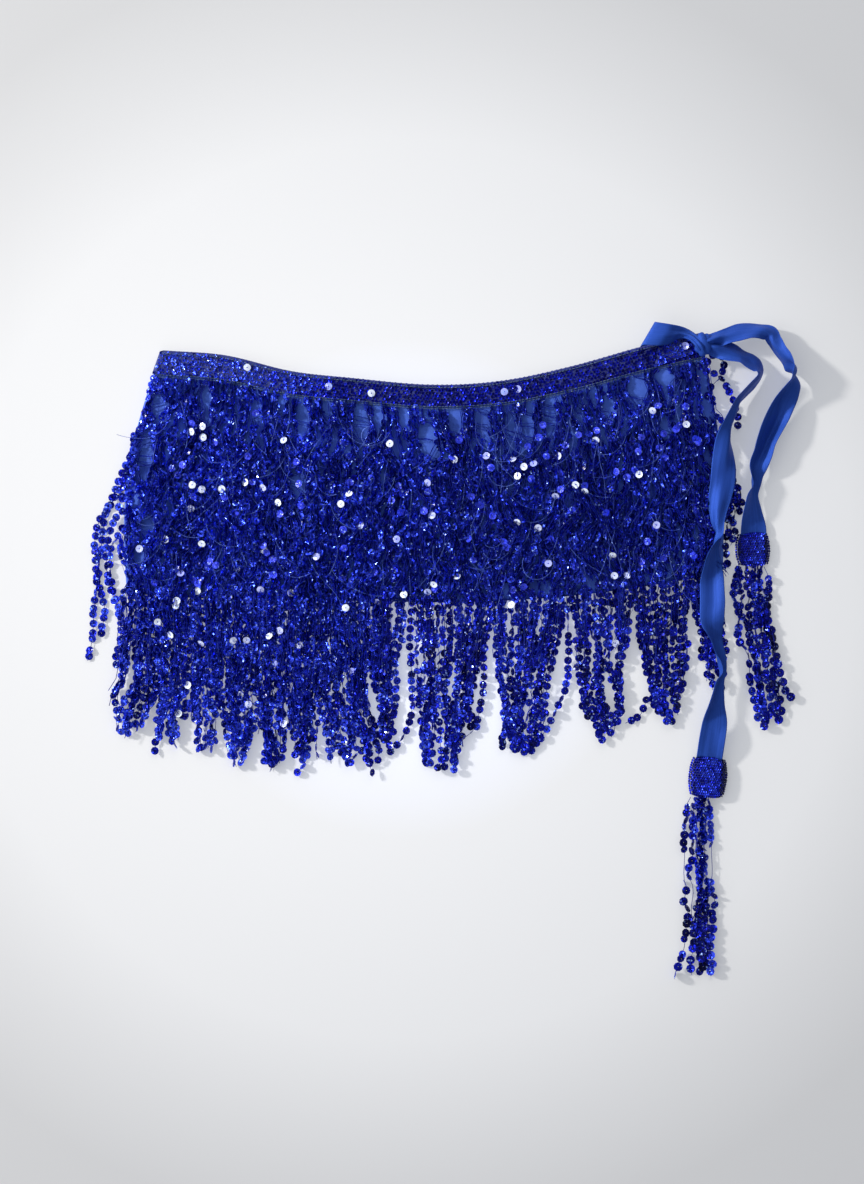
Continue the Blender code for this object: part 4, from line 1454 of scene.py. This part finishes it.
def ribbon_columns(table, count, width, sides):
    """Columns of points across a ribbon that rolls about its own middle line as it goes.

    Where the table makes the ribbon narrower than its cut, the spare width stands in soft pleats.
    """
    rows = through(table, np.linspace(0.0, 1.0, count))
    ahead = np.gradient(rows[:, :2], axis=0)
    ahead /= np.linalg.norm(ahead, axis=1)[:, None]
    shares = np.linspace(-0.5, 0.5, sides)
    columns = []
    for i, ((x, y, z, chord, roll, crease), (along_x, along_y)) in enumerate(zip(rows, ahead)):
        phase = i * PLEAT_PHASE / count
        turn = math.radians(roll)
        flat = np.array((along_y * math.cos(turn), -along_x * math.cos(turn), math.sin(turn)))
        face = np.array((-along_y * math.sin(turn), along_x * math.sin(turn), math.cos(turn)))
        # Across the ribbon: a pleat as deep as its spare width makes it and a soft wave, both
        # changing along it, then the table's crease and a fine ripple
        spare = math.sqrt(max(width * width - chord * chord, 0.0)) / 3.6
        pleat = 0.35 * math.sin(phase * 0.12) + spare * (0.4 + 0.1 * math.sin(phase * 0.21))
        wave = np.sin(3.0 * math.pi * shares + phase * 0.09)
        bow = pleat * np.cos(2.0 * math.pi * shares) + 0.25 * wave
        shift = shares + 0.12 * math.sin(phase * 0.05)
        ripple = np.sin(9.0 * math.pi * shares + 1.5 * math.sin(phase * 0.06))
        bow = bow + creased(shift, crease) + 0.03 * ripple
        points = np.array((x, y, z)) + np.outer(shares * chord, flat) + np.outer(bow, face)
        points[:, 2] = np.maximum(points[:, 2], 0.5)
        columns.append(points)
    return columns


class SCARF_OT_ribbon_tie(bpy.types.Operator):
    """Lay the bow's loop and both tails of the ribbon tie"""

    bl_idname = "scarf.ribbon_tie"
    bl_label = "Ribbon Tie"

    def execute(self, context):
        width = context.scene.scarf_sizes.ribbon_width / MM
        tails = (
            # piece, node, table, points along, cut length
            ("ribbon_long", "tie_tail_long", LONG_TAIL, 260, 0.375),
            ("ribbon_short", "tie_tail_short", SHORT_TAIL, 180, 0.225),
        )
        for name, cad_node, table, count, length in tails:
            columns = ribbon_columns(table, count, width, 27)
            ribbon = sheet_object(name, columns, TAIL_MAP, RIBBON_THICKNESS, ribbon_blue())
            seated(ribbon, "ribbon_satin", cad_node)
        rows = through(LOOP, np.linspace(0.0, 1.0, 120))
        columns = []
        for i, (ax, ay, bx, by, z, crease) in enumerate(rows):
            shares = np.linspace(0.0, 1.0, 25)
            bow = 0.5 * np.sin(math.pi * shares) + 0.3 * np.sin(2.0 * math.pi * shares + i * 0.07)
            bow = bow + creased(shares - 0.62, -crease)
            bow = bow + 0.28 * crease * np.sin(5.0 * math.pi * shares)
            x, y = ax + (bx - ax) * shares, ay + (by - ay) * shares
            columns.append(np.stack((x, y, z + bow), axis=1))
        loop = sheet_object("ribbon_loop", columns, LOOP_MAP, RIBBON_THICKNESS, ribbon_blue())
        seated(loop, "ribbon_satin", "tie_loop")
        return {"FINISHED"}


class SCARF_OT_knot(bpy.types.Operator):
    """Shape the knot that closes the tie"""

    bl_idname = "scarf.knot"
    bl_label = "Knot"

    def execute(self, context):
        bpy.ops.object.select_all(action="DESELECT")
        bpy.ops.mesh.primitive_uv_sphere_add(segments=40, ring_count=24, radius=1.0)
        knot = context.object
        knot.name = "ribbon_knot"
        low, high = (np.array(corner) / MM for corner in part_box("tie_knot"))
        centre, reach = (low + high) / 2.0, (high - low) / 2.0
        points = read_points(knot.data)
        slant = points[:, 0] * 0.95 + points[:, 1] * 0.3 + 0.25 * np.sin(2.0 * points[:, 1])
        fold = 1.0 - 0.20 * (1.0 - np.abs(np.sin(3.6 * slant + 0.6))) ** 2
        place_points(knot.data, centre + points * reach * (0.95 * fold)[:, None])
        knot.data.uv_layers[0].name = "UVMap"
        for corner in knot.data.uv_layers[0].data:
            corner.uv = (corner.uv[0] * 60.0, corner.uv[1] * 25.0)
        knot.data.materials.append(ribbon_blue())
        knot.data.shade_smooth()
        seated(knot, "ribbon_satin", "tie_knot")
        return {"FINISHED"}


class SCARF_OT_end_caps(bpy.types.Operator):
    """Pad the two square end caps and sew their small sequins"""

    bl_idname = "scarf.end_caps"
    bl_label = "End Caps"

    def execute(self, context):
        for number, (name, cad_node, x, y, width, height, thick, turn) in enumerate(CAPS):
            bpy.ops.object.select_all(action="DESELECT")
            bpy.ops.mesh.primitive_cube_add(size=1.0)
            pad = context.object
            pad.name = name
            bpy.ops.object.mode_set(mode="EDIT")
            bpy.ops.mesh.select_all(action="SELECT")
            bpy.ops.mesh.subdivide(number_cuts=9)
            bpy.ops.object.mode_set(mode="OBJECT")
            shaped = self.shaped(read_points(pad.data), width, height, thick)
            place_points(pad.data, self.placed(shaped, x, y, turn))
            pad.data.materials.append(band_blue())
            pad.data.shade_smooth()
            seated(pad, "sequin_cap", cad_node)
            self.sequins(name, x, y, width, height, thick, turn, number)
        return {"FINISHED"}

    def rounded(self, u, v):
        """Pulls the corners of a square from -1 to 1 in to round ones."""
        corner = np.clip(np.abs(u) * np.abs(v), 0.0, 1.0) ** 3
        pull = 1.0 - 0.10 * corner
        return u * pull * (1.0 - PAD_DRAWN_IN * v * v), v * pull

    def crown(self, u, v):
        """Share of the full thickness over a place on the pad, from its rim to its middle."""
        sideways = np.sqrt(np.clip(1.0 - np.abs(u) ** 3.5, 0.0, 1.0))
        lengthways = np.sqrt(np.clip(1.0 - np.abs(v) ** 5, 0.0, 1.0))
        return PAD_RIM + (1.0 - PAD_RIM) * (sideways * lengthways)

    def shaped(self, points, width, height, thick):
        """A cube of size 1 as a pad with pulled-in edges, flat below."""
        u, v = points[:, 0] * 1.96, points[:, 1] * 1.96
        lift = self.crown(u, v) * (points[:, 2] + 0.5)
        u, v = self.rounded(u, v)
        side = 1.0 - 0.08 * (np.abs(points[:, 2]) * 2.0) ** 3
        z = 0.2 + lift * (thick - PAD_COVER)
        return np.stack((u * width * PAD_HALF * side, v * height * PAD_HALF * side, z), axis=1)

    def placed(self, points, x, y, turn):
        """Points of a pad turned about its middle and moved to its place."""
        cos, sin = math.cos(math.radians(turn)), math.sin(math.radians(turn))
        across, along, z = points.T
        return np.stack((x + across * cos - along * sin, y + across * sin + along * cos, z), axis=1)

    def sequins(self, name, x, y, width, height, thick, turn, number):
        """Close rows of small sequins over the pad and down its rolled sides."""
        seed = 500 + number
        rng = np.random.default_rng(seed)
        across, along = int(width / 1.9), int(height / 1.9)
        u, v = np.meshgrid(np.linspace(-0.95, 0.95, across), np.linspace(-0.97, 0.97, along))
        u = u + (np.arange(along) % 2)[:, None] * 0.9 / across
        u, v = np.clip(u.ravel(), -0.97, 0.97), v.ravel()
        lift = self.crown(u, v)
        u, v = self.rounded(u, v)
        lean = 45.0 * (u > 0.68) - 45.0 * (u < -0.85)
        z = lift * (thick - PAD_COVER) + 0.75
        rows = [np.stack((u * width * PAD_HALF, v * height * 0.5, z, lean), axis=1)]
        for side in (-1.0, 1.0):
            for z in np.arange(0.9, 0.55 * thick, 1.5):
                v = np.linspace(-0.88, 0.88, along)
                bulge = PAD_HALF * width * (1.0 - PAD_DRAWN_IN * v * v)
                bulge = bulge * (1.0 - 0.1 * np.abs(v) ** 3) + 0.7
                level, lean = np.full(along, z), np.full(along, 50.0 * side)
                rows.append(np.stack((side * bulge, v * height * 0.5, level, lean), axis=1))
        rows = np.vstack(rows)
        rows[:, 2] += rng.normal(0.0, 0.06, len(rows))
        lean = rows[:, 3]
        # Painted shade: sequins on the pad's right side, which faces away from the light, are darker;
        # the wave across the pad varies their tone
        tone_with_painted_light = 0.1 - 0.95 * (lean > 0.0) + 0.3 * np.sin(rows[:, 0] / 6.0 + number)
        places, ahead = self.placed(rows[:, :3], x, y, turn), (0.0, 1.0, 0.0)
        small_discs(name + "_sequins", places, ahead, seed, "sequin_cap", 10.0, 1.05, tone_with_painted_light, lean, 0.2)


class SCARF_OT_tassels(bpy.types.Operator):
    """Hang the sequin strings of the two tassels from their caps"""

    bl_idname = "scarf.tassels"
    bl_label = "Tassels"

    def execute(self, context):
        tassels = (
            # piece, node, strings
            ("tassel_strings_short", "tassel_short", SHORT_TASSEL),
            ("tassel_strings_long", "tassel_long", LONG_TASSEL),
        )
        for number, (name, cad_node, strings) in enumerate(tassels):
            rng = np.random.default_rng(600 + number)
            courses = []
            for neatness, *marks in strings:
                share = np.linspace(0.0, 1.0, 80)
                flat = through(marks, share)
                flat[:, 0] += 0.35 * np.sin(flat[:, 1] / 6.0 + marks[0][0])
                z = 1.6 + rng.uniform(0.0, 1.6) + 1.2 * eased(share)
                courses.append((np.column_stack((flat, z)), neatness))
            fringe_object(name, courses, 610 + number, cad_node, closer=0.42, larger=0.24)
        return {"FINISHED"}


class SCARF_OT_flashes(bpy.types.Operator):
    """Lay the sequins with painted flashes, nearly white or bright blue, on top of the strings"""

    bl_idname = "scarf.flashes"
    bl_label = "Flashing Sequins"

    def execute(self, context):
        rng = np.random.default_rng(651)
        sizes = context.scene.scarf_sizes
        # Below the hem fewer strings lie under them
        heights = np.interp([y for x, y in PAINTED_FLASHES], (-40.0, 20.0, 45.0), (6.0, 8.2, FLASH_Z))
        rows = [(x, y, float(z)) for (x, y), z in zip(PAINTED_FLASHES, heights)]
        whole = len(rows)
        for _ in range(PAINTED_BLUE_FLASHES):
            x, y = outline(rng.uniform(0.03, 0.97), rng.uniform(0.2, 0.98))
            rows.append((float(x), float(y), FLASH_Z))
        rows += [(x, y, BAND_FLASH_Z) for x, y in PAINTED_BAND_FLASHES]
        places = np.array(rows)
        places[:, :2] += rng.normal(0.0, 0.4, (len(rows), 2))
        places[:, 2] += rng.normal(0.0, 0.7, len(rows))
        template = disc_template(sizes.sequin_width / MM / 2.0, 12, 0.3, 0.32)
        tips = np.clip(rng.normal(0.0, 16.0, (len(rows), 2)), -40.0, 40.0)
        tips[:whole, 0] = 0.7 * tips[:whole, 0] + 14.0
        tips = np.radians(tips)
        ahead = np.tile((0.1, -1.0, 0.0), (len(rows), 1))
        points, faces = discs(places, ahead, tips, template, rng)
        piece = mesh_object("painted_flash_sequins", points, faces, foil_flash())
        # Painted highlights: most flash nearly white, a few on the band dimmer, and the blue ones
        # bright blue
        tint = 1.0 - 0.7 * rng.random(len(rows)) ** 2
        tint[-DIM_PAINTED_BAND_FLASHES:] = 0.4
        blue = slice(whole, whole + PAINTED_BLUE_FLASHES)
        tint[blue] = rng.uniform(0.0, 0.03, PAINTED_BLUE_FLASHES)
        crumple = np.ones(len(rows))
        crumple[blue] = 3.2
        disc_values(piece, template, tint, crumple)
        seated(piece, "sequin_strings")
        return {"FINISHED"}


class SCARF_OT_loose_threads(bpy.types.Operator):
    """Scatter fine thread ends over the fringe"""

    bl_idname = "scarf.loose_threads"
    bl_label = "Loose Threads"

    def execute(self, context):
        rng = np.random.default_rng(701)
        threads = []
        for _ in range(LOOSE_THREADS):
            across, down = rng.uniform(0.03, 0.96), rng.uniform(0.12, 0.9)
            x, y = outline(across, down)
            heading = rng.normal(-math.pi / 2.0, 0.25)
            steps = int(rng.uniform(10, 26))
            turn = np.cumsum(rng.normal(0.0, 0.014, steps)) + rng.normal(0.0, 0.05)
            headings = heading + np.cumsum(turn)
            xs = float(x) + np.cumsum(np.cos(headings)) * 2.0
            ys = float(y) + np.cumsum(np.sin(headings)) * 2.0
            zs = np.full(steps, LOOSE_THREAD_Z) + rng.uniform(0.0, 1.4)
            threads.append(tube(np.stack((xs, ys, zs), axis=1), 0.2))
        thread_object("loose_threads", threads, thread("loose_thread"), "sequin_strings")
        return {"FINISHED"}


OPERATORS = (
    SCARF_OT_stage,
    SCARF_OT_base_cloth,
    SCARF_OT_waistband,
    SCARF_OT_fringe_rows,
    SCARF_OT_back_fringe,
    SCARF_OT_ribbon_tie,
    SCARF_OT_knot,
    SCARF_OT_end_caps,
    SCARF_OT_tassels,
    SCARF_OT_flashes,
    SCARF_OT_loose_threads,
)


class SCARF_PT_panel(bpy.types.Panel):
    """Lists the scarf's sizes, colours and pieces"""

    bl_idname = "SCARF_PT_panel"
    bl_label = "Hip Scarf"
    bl_space_type = "VIEW_3D"
    bl_region_type = "UI"
    bl_category = "Hip Scarf"

    def draw(self, context):
        for group in (context.scene.scarf_sizes, context.scene.scarf_colours):
            for key in group.__annotations__:
                self.layout.prop(group, key)
        for operator in OPERATORS:
            self.layout.operator(operator.bl_idname)


CLASSES = (ScarfSizes, ScarfColours, *OPERATORS, SCARF_PT_panel)


def register():
    for cls in CLASSES:
        bpy.utils.register_class(cls)
    bpy.types.Scene.scarf_sizes = bpy.props.PointerProperty(type=ScarfSizes)
    bpy.types.Scene.scarf_colours = bpy.props.PointerProperty(type=ScarfColours)


def unregister():
    del bpy.types.Scene.scarf_colours
    del bpy.types.Scene.scarf_sizes
    for cls in reversed(CLASSES):
        bpy.utils.unregister_class(cls)


def main():
    register()
    for operator in OPERATORS:
        family, name = operator.bl_idname.split(".")
        getattr(getattr(bpy.ops, family), name)()


if __name__ == "__main__":
    main()
